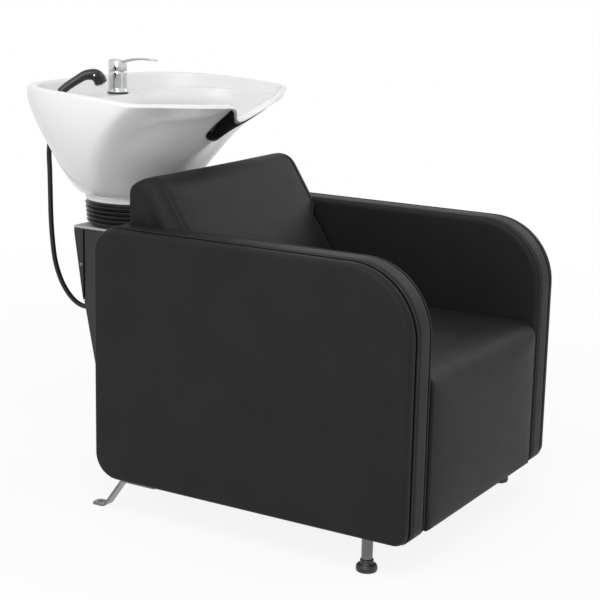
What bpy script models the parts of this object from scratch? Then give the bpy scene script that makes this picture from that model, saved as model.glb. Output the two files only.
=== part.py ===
"""Salon backwash unit: an upholstered armchair with a tilting ceramic basin on a plumbing column.

Metres, +Z up. The chair faces -Y, the sitter's right hand is at -X, and the origin lies on the floor
under the middle of the unit. Every piece is one object, in the collection "backwash_unit".
"""

import math

import bmesh
import bpy
from mathutils import Matrix, Vector

# Clearances
TOUCH = 0.0003  # gap between pieces that rest on each other
SLIP = 0.0006  # radial gap of a piece that turns or slides in a hole
SOFT_GAP = 0.003  # gap between the seat or back and an arm

# Arms
FRONT_Y = -0.545
ARM_DEPTH = 0.775
ARM_BOTTOM = 0.075
ARM_HEIGHT = 0.565
ARM_THICK = 0.063
SEAT_SPAN = 0.594
ARM_CROWN = 0.007
ARM_EDGE_R = 0.006
ARM_FRONT_TOP_R = 0.15
ARM_REAR_TOP_R = 0.055
ARM_REAR_LOW_R = 0.080
ARM_FRONT_LOW_R = 0.030

# Seat and back
SEAT_TOP = 0.42
SEAT_THICK = 0.12
SEAT_SETBACK = 0.010
SEAT_NOSE_R = 0.035
SEAT_CROWN = 0.012
APRON_THICK = 0.05
APRON_CLEAR = 0.001
SIDE_DRAW = 0.010
BACK_HEIGHT = 0.318
BACK_TOP_R = 0.037
BACK_FOOT_DEPTH = 0.275
BACK_CROWN = 0.014
BACK_TOE_R = 0.012

# Chair structure
PANEL_INSET = 0.012
PANEL_THICK = 0.036
PANEL_TOP = 0.60
BOARD_THICK = 0.015
CLEAT_SIZE = 0.022
TUBE_HEIGHT = 0.04
TUBE_WIDTH = 0.03
TUBE_WALL = 0.002
FRONT_RAIL_Y = -0.36
BEAM_X = 0.07
BEAM_BOTTOM = 0.088

# Feet
LEG_Y = -0.452
LEG_R = 0.012
FOOT_R = 0.0225
FOOT_HEIGHT = 0.026
STUD_R = 0.005
STUD_LENGTH = 0.030
STRAP_WIDTH = 0.032
STRAP_THICK = 0.005
STRAP_GRIP = 0.075
STRAP_REACH = 0.066
STRAP_TAB = 0.034
ANCHOR_R = 0.0055
BOLT_R = 0.004
BOLT_HEAD_R = 0.0075
BOLT_HEAD = 0.0035

# Column
COLUMN_STANDOFF = 0.055
COLUMN_WIDTH = 0.21
COLUMN_DEPTH = 0.173
COLUMN_TOP = 0.575
COLUMN_BOTTOM = 0.088
COLUMN_WALL = 0.0025
COLUMN_KNEE = 0.398
COLUMN_TUCK = 0.065
WEDGE_DEPTH = 0.029
TOP_PLATE = 0.005
POST_DEPTH = 0.02
POST_WIDTH = 0.12
SCREW_R = 0.0045
SCREW_STAND = 0.0018

# Basin
COLLAR_SETBACK = 0.098
COLLAR_R = 0.118
COLLAR_WALL = 0.015
COLLAR_BAND = 0.014
COLLAR_Z = 0.645
BASIN_RISE = 0.243
BASIN_WIDTH = 0.64
RIM_BEHIND = 0.162
RIM_AHEAD = 0.355
RIM_WIDEST = 0.19
RIM_FALL = 0.059
RIM_ARCH = 0.009
RIM_FRONT_POWER = 1.5
RIM_REAR_POWER = 3.7
LIP_WIDTH = 0.020
LIP_ROUND = 0.007
LEDGE_DROP = 0.012
DECK_Z = 0.889
DECK_THICK = 0.014
DECK_FRONT = 0.017
BOWL_WALL = 0.016
FLOOR_THICK = 0.016
NOTCH_HALF = 0.095
NOTCH_DEPTH = 0.047
NOTCH_BACK = 0.055
NOTCH_START = 0.25
SIDE_CURVE = 0.585
SIDE_FLAT = 5.24
REAR_CURVE = 1.66
REAR_FLAT = 5.3
FRONT_CURVE = 1.67
MIDDLE_CURVE = 1.38
BOW = 0.5
BOW_CURVE = 2.8
FLOOR_HALF = 0.062
NECK_PAD = 0.0068
NECK_HALF = 0.058
NECK_GAP = 0.0015
NECK_DROP = 0.22
NECK_WING = 0.14

# Tilt hinge and bellows
DRAIN_AHEAD = 0.038
HINGE_Z = 0.615
EAR_X = 0.043
EAR_THICK = 0.006
EAR_WIDTH = 0.036
EAR_GAP = 0.001
PIN_R = 0.005
BUSH_WALL = 0.003
BELLOWS_R = 0.104
BELLOWS_FLARE = 0.008
BELLOWS_WALL = 0.003
BELLOWS_RIB = 0.010
BELLOWS_RIBS = 5

# Drain
DRAIN_R = 0.026
DRAIN_WALL = 0.004
DRAIN_FLANGE_R = 0.036
DRAIN_FLANGE = 0.0025
DRAIN_TAIL_Z = 0.578
NUT_HEIGHT = 0.009
NUT_R = 0.034
WASTE_R = 0.021
STRAINER_DEPTH = 0.014

# Mixer
MIXER_BEHIND = 0.052
MIXER_R = 0.022
MIXER_BODY = 0.050
GASKET_R = 0.0245
GASKET_THICK = 0.003
SHANK_R = 0.013
SHANK_LENGTH = 0.040
MIXER_NUT_R = 0.021
STEM_R = 0.008
CAP_HEIGHT = 0.026
LEVER_REACH = 0.112
LEVER_WIDTH = 0.024
LEVER_THICK = 0.006

# Hand shower
DOCK_X = -0.172
DOCK_BEHIND = 0.085
DOCK_BORE = 0.0095
DOCK_WALL = 0.004
DOCK_FLANGE = 0.006
DOCK_FLANGE_THICK = 0.004
DOCK_LENGTH = 0.072
HANDLE_R = 0.0096
HEAD_R = 0.0135
SHANK_IN_DOCK = 0.058
DOCK_SLIP = 0.0012
SPRAY_THICK = 0.004

# Hoses
HOSE_R = 0.006
TAIL_R = 0.005
GROMMET_R = 0.011

# Values that follow from the ones above
ARM_TOP = ARM_BOTTOM + ARM_HEIGHT
ARM_REAR = FRONT_Y + ARM_DEPTH
ARM_INNER = SEAT_SPAN / 2
ARM_MID = ARM_INNER + ARM_THICK / 2
PANEL_REAR = ARM_REAR - PANEL_INSET
PANEL_FRONT = PANEL_REAR - PANEL_THICK
BACK_REAR = PANEL_FRONT - TOUCH
SEAT_UNDER = SEAT_TOP - SEAT_THICK
COLUMN_FRONT = ARM_REAR + COLUMN_STANDOFF
COLUMN_REAR = COLUMN_FRONT + COLUMN_DEPTH
PLATE_Z = COLUMN_TOP + TOUCH
PLATE_TOP = PLATE_Z + TOP_PLATE
COLLAR_Y = COLUMN_FRONT + COLLAR_SETBACK
COLLAR_TOP = COLLAR_Z + COLLAR_BAND
RIM_Z = COLLAR_TOP + BASIN_RISE
RIM_FRONT = COLLAR_Y - RIM_AHEAD
RIM_REAR = COLLAR_Y + RIM_BEHIND
RIM_WIDEST_Y = COLLAR_Y - RIM_WIDEST
BOWL_REAR = COLLAR_Y + DECK_FRONT
FLOOR_UNDER = COLLAR_Z + COLLAR_BAND + 0.003
FLOOR_Z = FLOOR_UNDER + FLOOR_THICK
DRAIN_Y = COLLAR_Y - DRAIN_AHEAD
POST_FRONT = COLUMN_FRONT + COLUMN_WALL + TOUCH
WASTE_CUP_R = DRAIN_Y - POST_FRONT - POST_DEPTH - TOUCH
MIXER_Y = COLLAR_Y + MIXER_BEHIND
DOCK_Y = COLLAR_Y + DOCK_BEHIND
DECK_UNDER = DECK_Z - DECK_THICK
GASKET_Z = DECK_Z + TOUCH
BODY_Z = GASKET_Z + GASKET_THICK + TOUCH
BODY_TOP = BODY_Z + MIXER_BODY
CAP_Z = BODY_TOP + TOUCH


# Scene set-up
def clear_scene():
    for old in list(bpy.data.objects):
        bpy.data.objects.remove(old, do_unlink=True)


def new_collection(name):
    group = bpy.data.collections.new(name)
    bpy.context.scene.collection.children.link(group)
    return group


def make_material(name, colour, roughness, metallic=0.0):
    material = bpy.data.materials.new(name)
    material.use_nodes = True
    shader = material.node_tree.nodes["Principled BSDF"]
    shader.inputs["Base Color"].default_value = (*colour, 1.0)
    shader.inputs["Roughness"].default_value = roughness
    shader.inputs["Metallic"].default_value = metallic
    return material


clear_scene()
PARTS = new_collection("backwash_unit")
CUTTERS = new_collection("cutters")

VINYL = make_material("black_vinyl", (0.022, 0.022, 0.024), 0.42)
CERAMIC = make_material("white_ceramic", (0.86, 0.87, 0.88), 0.12)
CHROME = make_material("chrome", (0.80, 0.81, 0.82), 0.10, 1.0)
STEEL = make_material("frame_steel", (0.10, 0.10, 0.11), 0.50, 0.6)
COVER_GREY = make_material("column_grey", (0.10, 0.10, 0.105), 0.45)
PLATE_GREY = make_material("top_plate_grey", (0.45, 0.46, 0.47), 0.40)
PLASTIC = make_material("black_plastic", (0.018, 0.018, 0.019), 0.35)
RUBBER = make_material("black_rubber", (0.015, 0.015, 0.016), 0.55)
WOOD = make_material("plywood", (0.55, 0.38, 0.22), 0.65)
NYLON = make_material("white_nylon", (0.75, 0.75, 0.72), 0.45)


# Shared modelling helpers
def place(name, mesh, material, group=None):
    """A new object for a mesh, in the parts collection, with its material."""
    item = bpy.data.objects.new(name, mesh)
    (group or PARTS).objects.link(item)
    if material:
        mesh.materials.clear()
        mesh.materials.append(material)
    return item


def smooth(item, angle=35.0):
    item.data.shade_smooth()
    item.data.set_sharp_from_angle(angle=math.radians(angle))
    return item


def mesh_of(bm, name):
    mesh = bpy.data.meshes.new(name)
    bm.to_mesh(mesh)
    bm.free()
    return mesh


def box(name, low, high, material, bevel=0.0, group=None):
    """A block between two corners, with rounded edges where a bevel is given."""
    bm = bmesh.new()
    bmesh.ops.create_cube(bm, size=1.0)
    centre = (Vector(low) + Vector(high)) / 2
    extent = Vector(high) - Vector(low)
    bmesh.ops.scale(bm, vec=extent, verts=bm.verts)
    bmesh.ops.translate(bm, vec=centre, verts=bm.verts)
    item = place(name, mesh_of(bm, name), material, group)
    if bevel:
        rounding = item.modifiers.new("round_edges", "BEVEL")
        rounding.width = bevel
        rounding.segments = 2
    return item


def cylinder(name, radius, start, end, material, sides=24, group=None):
    """A round bar from one point to another."""
    start, end = Vector(start), Vector(end)
    bm = bmesh.new()
    bmesh.ops.create_cone(
        bm, cap_ends=True, segments=sides, radius1=radius, radius2=radius, depth=(end - start).length
    )
    turn = Vector((0, 0, 1)).rotation_difference(end - start).to_matrix().to_4x4()
    bm.transform(Matrix.Translation((start + end) / 2) @ turn)
    return place(name, mesh_of(bm, name), material, group)


def cutter(item):
    item.hide_render = True
    item.display_type = "WIRE"
    return item


def cut(item, tool, operation="DIFFERENCE"):
    """Cut a hidden tool out of an object, or join it on."""
    step = item.modifiers.new(tool.name, "BOOLEAN")
    step.operation = operation
    step.solver = "EXACT"
    step.object = cutter(tool)


def hole(item, radius, start, end, sides=16):
    cut(item, cylinder(item.name + "_bore", radius, start, end, None, sides, CUTTERS))


def pocket(item, low, high):
    cut(item, box(item.name + "_pocket", low, high, None, 0.0, CUTTERS))


def turned(name, profile, centre, material, steps=32, ring=False, group=None):
    """A profile of (radius, height) points, top to bottom on its outer side, turned about Z."""
    mesh = bpy.data.meshes.new(name)
    count = len(profile)
    edges = [(i, i + 1) for i in range(count - 1)]
    if ring:
        edges.append((count - 1, 0))
    mesh.from_pydata([(r, 0.0, z) for r, z in profile], edges, [])
    item = place(name, mesh, material, group)
    item.location = centre
    screw = item.modifiers.new("turn", "SCREW")
    screw.steps = steps
    screw.render_steps = steps
    screw.use_merge_vertices = True
    screw.merge_threshold = 0.00001
    screw.use_smooth_shade = True
    return item


def curve_mesh(name, curve, matrix, material, group=None):
    """The mesh of a curve, with its caps welded on."""
    guide = bpy.data.objects.new(name + "_curve", curve)
    CUTTERS.objects.link(guide)
    bpy.context.view_layer.update()
    seen = guide.evaluated_get(bpy.context.evaluated_depsgraph_get())
    mesh = bpy.data.meshes.new_from_object(seen)
    bpy.data.objects.remove(guide, do_unlink=True)
    bm = bmesh.new()
    bm.from_mesh(mesh)
    bmesh.ops.remove_doubles(bm, verts=bm.verts, dist=0.00001)
    bm.transform(matrix)
    bmesh.ops.recalc_face_normals(bm, faces=bm.faces)
    bm.to_mesh(mesh)
    bm.free()
    mesh.name = name
    return place(name, mesh, material, group)


# Local X, Y and Z of a side outline become the unit's Y, Z and X.
SIDE_VIEW = Matrix(((0, 0, 1, 0), (1, 0, 0, 0), (0, 1, 0, 0), (0, 0, 0, 1)))


def side_plate(name, outline, x_low, x_high, material, group=None):
    """A flat (y, z) outline, thickened from x_low to x_high."""
    curve = bpy.data.curves.new(name, "CURVE")
    curve.dimensions = "2D"
    curve.fill_mode = "BOTH"
    curve.extrude = (x_high - x_low) / 2
    spline = curve.splines.new("POLY")
    spline.points.add(len(outline) - 1)
    for point, (y, z) in zip(spline.points, outline):
        point.co = (y, z, 0.0, 1.0)
    spline.use_cyclic_u = True
    shift = Matrix.Translation(((x_low + x_high) / 2, 0, 0))
    return curve_mesh(name, curve, shift @ SIDE_VIEW, material, group)


def tube(name, points, radii, material, sides=3):
    """A round tube along points; radii is one radius or one per point."""
    if not isinstance(radii, (list, tuple)):
        radii = [radii] * len(points)
    curve = bpy.data.curves.new(name, "CURVE")
    curve.dimensions = "3D"
    curve.bevel_depth = 1.0
    curve.bevel_resolution = sides
    curve.use_fill_caps = True
    spline = curve.splines.new("POLY")
    spline.points.add(len(points) - 1)
    for point, place_at, radius in zip(spline.points, points, radii):
        point.co = (*place_at, 1.0)
        point.radius = radius
    return smooth(curve_mesh(name, curve, Matrix.Identity(4), material))


def through(points, spacing):
    """Points about one spacing apart on a smooth curve through the given ones."""
    knots = [Vector(p) for p in points]
    ends = [2 * knots[0] - knots[1], *knots, 2 * knots[-1] - knots[-2]]
    found = []
    for a, b, c, d in zip(ends, ends[1:], ends[2:], ends[3:]):
        count = max(1, round((c - b).length / spacing))
        for i in range(count):
            t = i / count
            bend = 2 * a - 5 * b + 4 * c - d
            twist = 3 * b - a - 3 * c + d
            found.append(b + 0.5 * t * ((c - a) + t * (bend + t * twist)))
    found.append(knots[-1])
    return found


def loft(name, rings, material, closed=False, group=None, fan=False):
    """A skin over rings of equally many points; an open loft has flat ends, or fans from their middles."""
    bm = bmesh.new()
    rows = [[bm.verts.new(p) for p in ring] for ring in rings]
    pairs = list(zip(rows, rows[1:]))
    if closed:
        pairs.append((rows[-1], rows[0]))
    else:
        ends = [bm.faces.new(rows[0]), bm.faces.new(rows[-1])]
        if fan:
            bmesh.ops.poke(bm, faces=ends)
    for one, two in pairs:
        for i in range(len(one)):
            j = (i + 1) % len(one)
            bm.faces.new((one[i], one[j], two[j], two[i]))
    bmesh.ops.recalc_face_normals(bm, faces=bm.faces)
    return smooth(place(name, mesh_of(bm, name), material, group))


def rounded(corners, steps=6):
    """An outline through (y, z, radius) corners, with each corner an arc."""
    found = []
    count = len(corners)
    for i, (y, z, radius) in enumerate(corners):
        here = Vector((y, z))
        before = Vector(corners[i - 1][:2]) - here
        after = Vector(corners[(i + 1) % count][:2]) - here
        if radius <= 0:
            found.append(here)
            continue
        half = before.angle(after) / 2
        middle = here + (before.normalized() + after.normalized()).normalized() * radius / math.sin(half)
        first = here + before.normalized() * radius / math.tan(half) - middle
        last = here + after.normalized() * radius / math.tan(half) - middle
        sweep = first.angle_signed(last)
        for k in range(steps + 1):
            turn = Matrix.Rotation(-sweep * k / steps, 2)
            found.append(middle + turn @ first)
    return found


def spread(outline, longest):
    """The outline with its long straight edges divided."""
    found = []
    for here, after in zip(outline, outline[1:] + outline[:1]):
        count = max(1, math.ceil((after - here).length / longest))
        found += [here.lerp(after, i / count) for i in range(count)]
    return found


def inset(outline, distance):
    """The outline moved inwards by a small distance."""
    found = []
    for i, here in enumerate(outline):
        run = (outline[(i + 1) % len(outline)] - outline[i - 1]).normalized()
        found.append(here + Vector((-run.y, run.x)) * distance)
    return found


# Upholstery
def arm_panel(name, side):
    """A boxed panel: flat inner face, rounded edge band and crowned outer face."""
    corners = [
        (FRONT_Y, ARM_BOTTOM, ARM_FRONT_LOW_R),
        (ARM_REAR, ARM_BOTTOM, ARM_REAR_LOW_R),
        (ARM_REAR, ARM_TOP, ARM_REAR_TOP_R),
        (FRONT_Y, ARM_TOP, ARM_FRONT_TOP_R),
    ]
    outline = spread(rounded(corners), 0.11)
    face = inset(outline, ARM_EDGE_R)
    middle = sum(face, Vector((0, 0))) / len(face)
    rings = []
    for share in (0.5, 1.0):
        rings.append((ARM_INNER, [middle.lerp(p, share) for p in face]))
    for quarter in (1, 2, 3):
        turn = math.pi / 6 * quarter
        rings.append(
            (ARM_INNER + ARM_EDGE_R * (1 - math.cos(turn)), inset(outline, ARM_EDGE_R * (1 - math.sin(turn))))
        )
    outer = ARM_INNER + ARM_THICK
    skirt = outer - ARM_CROWN
    for quarter in (3, 2, 1):
        turn = math.pi / 6 * quarter
        rings.append(
            (skirt - ARM_EDGE_R * (1 - math.cos(turn)), inset(outline, ARM_EDGE_R * (1 - math.sin(turn))))
        )
    for share in (1.0, 0.88, 0.7, 0.45, 0.2):
        rings.append((outer - ARM_CROWN * share**2, [middle.lerp(p, share) for p in face]))
    skins = [[(side * x, p.x, p.y) for p in ring] for x, ring in rings]
    return loft(name, skins, VINYL, fan=True)


def cushion_stations(span, draw):
    """Places across a cushion with how full it is there: 0 at its sides, 1 in the middle."""
    half = span / 2
    found = [(-half, 0.0), (-half + draw * 0.35, 0.35)]
    for share in (0.93, 0.80, 0.55, 0.28, 0.0):
        found.append((-half * share, 1 - 0.55 * share**4))
    return found + [(-x, full) for x, full in reversed(found[:-1])]


def seat_cushion():
    """Seat and front apron in one cover, crowned on top and drawn in at the sides."""
    front = FRONT_Y + SEAT_SETBACK
    bottom = ARM_BOTTOM + APRON_CLEAR
    rear = BACK_REAR
    rear_crown = BACK_REAR - BACK_FOOT_DEPTH
    rings = []
    for x, full in cushion_stations(SEAT_SPAN - 2 * SOFT_GAP, SIDE_DRAW):
        drawn = SIDE_DRAW * (1 - min(1.0, full / 0.35))
        swell = SEAT_CROWN * full
        top = SEAT_TOP - drawn
        face = front + drawn
        corners = [
            (face, bottom + drawn, 0.012),
            (front + APRON_THICK, bottom + drawn, 0.008),
            (front + APRON_THICK, SEAT_UNDER, 0.0),
            (rear, SEAT_UNDER, 0.0),
            (rear, top, 0.006),
            (rear_crown, top, 0.0),
            (face, top, SEAT_NOSE_R),
        ]
        outline = spread(rounded(corners, 5), 0.085)
        ring = []
        for p in outline:
            lift = 0.0
            push = 0.0
            if p.y > SEAT_UNDER + 0.05 and p.x < rear_crown:
                lift = swell * math.sin(math.pi * (p.x - face) / (rear_crown - face)) ** 0.7
            if p.x < face + 0.001:
                rise = (p.y - bottom) / (top - bottom)
                push = -0.4 * swell * math.sin(math.pi * min(1.0, max(0.0, rise)))
            ring.append((x, p.x + push, p.y + lift))
        rings.append(ring)
    return loft("seat_cushion", rings, VINYL)


def back_cushion():
    """A leaning wedge that stands on the seat, with a crowned front and a rounded top."""
    base = SEAT_TOP + 0.0006
    top_z = base + BACK_HEIGHT
    rings = []
    for x, full in cushion_stations(SEAT_SPAN - 2 * SOFT_GAP, SIDE_DRAW):
        drawn = SIDE_DRAW * (1 - min(1.0, full / 0.35))
        swell = BACK_CROWN * (full - 0.45)
        radius = BACK_TOP_R
        crest = Vector((BACK_REAR - radius, top_z - radius - drawn))
        toe = Vector((BACK_REAR - BACK_FOOT_DEPTH + drawn, base))
        away = crest - toe
        lean = math.atan2(away.y, away.x) + math.asin(radius / away.length)
        run = math.sqrt(away.length_squared - radius**2)
        slope = Vector((math.cos(lean), math.sin(lean)))
        bulge = Vector((-slope.y, slope.x))
        outline = [Vector((BACK_REAR, base)), Vector((BACK_REAR, (base + crest.y) / 2))]
        for k in range(9):
            turn = (lean + math.pi / 2) * k / 8
            outline.append(crest + radius * Vector((math.cos(turn), math.sin(turn))))
        for k in range(1, 9):
            share = 1 - k / 9
            puff = swell * math.sin(math.pi * min(1.0, k / 8.5)) ** 0.8
            outline.append(toe + slope * run * share + bulge * puff)
        outline.append(toe + slope * BACK_TOE_R)
        outline.append(toe + Vector((BACK_TOE_R, 0)))
        rings.append([(x, p.x, p.y) for p in outline])
    return loft("back_cushion", rings, VINYL)


# Chair structure
def square_tube(name, low, high, along):
    """A rectangular steel tube, open at both ends, with its length along one axis."""
    item = box(name, low, high, STEEL)
    inner_low = [a + TUBE_WALL for a in low]
    inner_high = [b - TUBE_WALL for b in high]
    inner_low[along] = low[along] - TUBE_WALL
    inner_high[along] = high[along] + TUBE_WALL
    pocket(item, inner_low, inner_high)
    return item


def chair_structure():
    reach = ARM_INNER - TOUCH
    beam_top = BEAM_BOTTOM + TUBE_HEIGHT
    rail_low = beam_top + TOUCH
    rail_top = rail_low + TUBE_HEIGHT
    rails = (("front_cross_rail", FRONT_RAIL_Y), ("rear_cross_rail", (PANEL_FRONT + PANEL_REAR) / 2))
    for name, y in rails:
        square_tube(
            name, (-reach, y - TUBE_WIDTH / 2, rail_low), (reach, y + TUBE_WIDTH / 2, rail_top), 0
        )
    beam_front = FRONT_RAIL_Y - TUBE_WIDTH
    for name, side in (("right_beam", -1), ("left_beam", 1)):
        x = side * BEAM_X
        low = (x - TUBE_WIDTH / 2, beam_front, BEAM_BOTTOM)
        high = (x + TUBE_WIDTH / 2, COLUMN_FRONT - TOUCH, beam_top)
        square_tube(name, low, high, 1)
    box(
        "rear_panel",
        (-reach, PANEL_FRONT, rail_top + TOUCH),
        (reach, PANEL_REAR, PANEL_TOP),
        VINYL,
        0.008,
    )
    board_low = SEAT_UNDER - TOUCH - BOARD_THICK
    board_front = FRONT_Y + SEAT_SETBACK + APRON_THICK + TOUCH
    box(
        "seat_board",
        (-reach, board_front, board_low),
        (reach, PANEL_FRONT - TOUCH, SEAT_UNDER - TOUCH),
        WOOD,
    )
    for name, side in (("right_seat_cleat", -1), ("left_seat_cleat", 1)):
        edges = sorted((side * reach, side * (reach - CLEAT_SIZE)))
        box(
            name,
            (edges[0], board_front, board_low - TOUCH - CLEAT_SIZE),
            (edges[1], PANEL_FRONT - TOUCH, board_low - TOUCH),
            WOOD,
        )


# Feet
def front_leg(word, side):
    """A chrome tube under the arm and the levelling foot that screws into it."""
    x = side * ARM_MID
    leg_low = FOOT_HEIGHT + TOUCH
    bore = STUD_R + SLIP
    bore_top = FOOT_HEIGHT + STUD_LENGTH + 0.006
    profile = [
        (0.0, ARM_BOTTOM - TOUCH),
        (LEG_R, ARM_BOTTOM - TOUCH),
        (LEG_R, leg_low),
        (bore, leg_low),
        (bore, bore_top),
        (0.0, bore_top),
    ]
    smooth(turned(f"{word}_front_leg", profile, (x, LEG_Y, 0.0), CHROME, 24))
    collar = 0.62 * FOOT_R
    foot = [
        (0.0, FOOT_HEIGHT + STUD_LENGTH),
        (STUD_R, FOOT_HEIGHT + STUD_LENGTH),
        (STUD_R, FOOT_HEIGHT),
        (collar, FOOT_HEIGHT),
        (collar, FOOT_HEIGHT * 0.72),
        (FOOT_R * 0.82, FOOT_HEIGHT * 0.62),
        (FOOT_R, FOOT_HEIGHT * 0.38),
        (FOOT_R, FOOT_HEIGHT * 0.16),
        (FOOT_R * 0.9, 0.0),
        (0.0, 0.0),
    ]
    turned(f"{word}_levelling_foot", foot, (x, LEG_Y, 0.0), PLASTIC, 20)


def strap_points():
    """Middle line of the bent bar in (y, z): under the arm, down to the floor, out to the tab."""
    top = ARM_BOTTOM - TOUCH - STRAP_THICK / 2
    floor = STRAP_THICK / 2
    bend = ARM_REAR - ARM_REAR_LOW_R
    return [
        Vector((bend - STRAP_GRIP, top)),
        Vector((bend, top)),
        Vector((bend + STRAP_REACH, floor)),
        Vector((bend + STRAP_REACH + STRAP_TAB, floor)),
    ]


def strap_outline():
    """The bar's side outline: its middle line with half the thickness on each side."""
    line = strap_points()
    upper, lower = [], []
    for i, here in enumerate(line):
        into = (here - line[i - 1]).normalized() if i else (line[1] - here).normalized()
        out = (line[i + 1] - here).normalized() if i + 1 < len(line) else into
        mitre = (into + out).normalized()
        normal = Vector((-mitre.y, mitre.x)) * STRAP_THICK / 2 / max(0.5, mitre.dot(into))
        upper.append(here + normal)
        lower.append(here - normal)
    return upper + lower[::-1]


def strap_foot(word, side):
    x = side * ARM_MID
    line = strap_points()
    bar = side_plate(f"{word}_strap_foot", strap_outline(), x - STRAP_WIDTH / 2, x + STRAP_WIDTH / 2, CHROME)
    tab = line[3].lerp(line[2], 0.42)
    hole(bar, ANCHOR_R, (x, tab.x, -0.01), (x, tab.x, 0.02))
    under = ARM_BOTTOM - TOUCH - STRAP_THICK
    for number, share in ((1, 0.25), (2, 0.75)):
        y = line[0].lerp(line[1], share).x
        hole(bar, BOLT_R + TOUCH, (x, y, under - 0.01), (x, y, ARM_BOTTOM + 0.01))
        profile = [
            (0.0, ARM_BOTTOM - TOUCH),
            (BOLT_R, ARM_BOTTOM - TOUCH),
            (BOLT_R, under - TOUCH),
            (BOLT_HEAD_R, under - TOUCH),
            (BOLT_HEAD_R, under - TOUCH - BOLT_HEAD * 0.5),
            (BOLT_HEAD_R * 0.6, under - TOUCH - BOLT_HEAD),
            (0.0, under - TOUCH - BOLT_HEAD),
        ]
        turned(f"{word}_strap_bolt_{number}", profile, (x, y, 0.0), CHROME, 12)


# Column
def column():
    half = COLUMN_WIDTH / 2
    foot_rear = COLUMN_REAR - COLUMN_TUCK
    outer = [
        Vector((COLUMN_FRONT, COLUMN_BOTTOM)),
        Vector((foot_rear, COLUMN_BOTTOM)),
        Vector((COLUMN_REAR, COLUMN_KNEE)),
        Vector((COLUMN_REAR, COLUMN_TOP)),
        Vector((COLUMN_FRONT, COLUMN_TOP)),
    ]
    cover = side_plate("column_cover", outer, -half, half, COVER_GREY)
    wall = COLUMN_WALL
    inner = [
        Vector((COLUMN_FRONT + wall, COLUMN_BOTTOM - wall)),
        Vector((foot_rear - 1.4 * wall, COLUMN_BOTTOM - wall)),
        Vector((COLUMN_REAR - wall, COLUMN_KNEE)),
        Vector((COLUMN_REAR - wall, COLUMN_TOP + wall)),
        Vector((COLUMN_FRONT + wall, COLUMN_TOP + wall)),
    ]
    cut(cover, side_plate("column_cover_room", inner, wall - half, half - wall, None, CUTTERS))
    mouth, outward = grommet_place()
    hole(cover, GROMMET_R, mouth - outward * 0.02, mouth + outward * 0.02)
    wedge_front = COLUMN_REAR + TOUCH
    wedge = [
        Vector((wedge_front, COLUMN_TOP)),
        Vector((wedge_front, COLUMN_KNEE + 0.004)),
        Vector((wedge_front + 0.004, COLUMN_KNEE + 0.004)),
        Vector((COLUMN_REAR + WEDGE_DEPTH, COLUMN_TOP - 0.012)),
        Vector((COLUMN_REAR + WEDGE_DEPTH, COLUMN_TOP)),
    ]
    rear_cover = side_plate("column_rear_cover", wedge, -half, half, COVER_GREY)
    room = [
        Vector((wedge_front - wall, COLUMN_TOP - wall)),
        Vector((wedge_front - wall, COLUMN_KNEE + 0.026)),
        Vector((wedge_front + 0.004, COLUMN_KNEE + 0.026)),
        Vector((COLUMN_REAR + WEDGE_DEPTH - 1.4 * wall, COLUMN_TOP - 0.018)),
        Vector((COLUMN_REAR + WEDGE_DEPTH - 1.4 * wall, COLUMN_TOP - wall)),
    ]
    cut(rear_cover, side_plate("rear_cover_room", room, wall - half, half - wall, None, CUTTERS))
    screw_z = COLUMN_KNEE + 0.5 * (COLUMN_TOP - COLUMN_KNEE)
    screw_y = wedge_front + 0.0085
    depth = 0.012
    for word, side in (("right", -1), ("left", 1)):
        mouth = Vector((side * half, screw_y, screw_z))
        inward = Vector((-side, 0, 0))
        hole(rear_cover, SCREW_R * 0.6 + TOUCH, mouth - inward * 0.01, mouth + inward * (depth + TOUCH), 16)
        profile = [
            (0.0, SCREW_STAND),
            (SCREW_R * 0.7, SCREW_STAND),
            (SCREW_R, SCREW_STAND * 0.35),
            (SCREW_R, TOUCH),
            (SCREW_R * 0.6, TOUCH),
            (SCREW_R * 0.6, -depth),
            (0.0, -depth),
        ]
        screw = turned(f"{word}_column_screw", profile, mouth, CHROME, 12)
        screw.rotation_euler = (0.0, side * math.pi / 2, 0.0)
    plate = box(
        "column_top_plate",
        (-half, COLUMN_FRONT, PLATE_Z),
        (half, COLUMN_REAR + WEDGE_DEPTH, PLATE_TOP),
        PLATE_GREY,
    )
    slot = EAR_X - 0.002
    pocket(
        plate,
        (-slot, DRAIN_Y - 0.044, PLATE_Z - 0.01),
        (slot, MIXER_Y + 0.028, PLATE_TOP + 0.01),
    )
    square_post = box(
        "column_post",
        (-POST_WIDTH / 2, POST_FRONT, BEAM_BOTTOM),
        (POST_WIDTH / 2, POST_FRONT + POST_DEPTH, COLUMN_TOP),
        STEEL,
    )
    pocket(
        square_post,
        (-POST_WIDTH / 2 + TUBE_WALL, POST_FRONT + TUBE_WALL, BEAM_BOTTOM - 0.01),
        (POST_WIDTH / 2 - TUBE_WALL, POST_FRONT + POST_DEPTH - TUBE_WALL, COLUMN_TOP + 0.01),
    )


def grommet_place():
    """Where the shower hose enters the sloping rear wall below the rear cover, and which way it points."""
    z = COLUMN_KNEE - 0.017
    slope = math.atan2(COLUMN_TUCK, COLUMN_KNEE - COLUMN_BOTTOM)
    y = COLUMN_REAR - (COLUMN_KNEE - z) * math.tan(slope)
    return Vector((-COLUMN_WIDTH / 2 + 0.024, y, z)), Vector((0.0, math.cos(slope), -math.sin(slope)))


# Basin surfaces
def rim_height(y):
    """The rim rises a little towards the rear and arches along its sides."""
    share = (y - RIM_FRONT) / (RIM_REAR - RIM_FRONT)
    return RIM_Z + RIM_FALL * (y - RIM_WIDEST_Y) + RIM_ARCH * 4 * share * (1 - share)


def ledge_height(y):
    """The step inside the rim, level with the deck at the rear."""
    return min(rim_height(y) - LEDGE_DROP, DECK_Z)


BASIN_POINTS = 72
OUTER_LEVELS = (1.0, 0.90, 0.76, 0.60, 0.44, 0.28, 0.14, 0.04)


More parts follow.
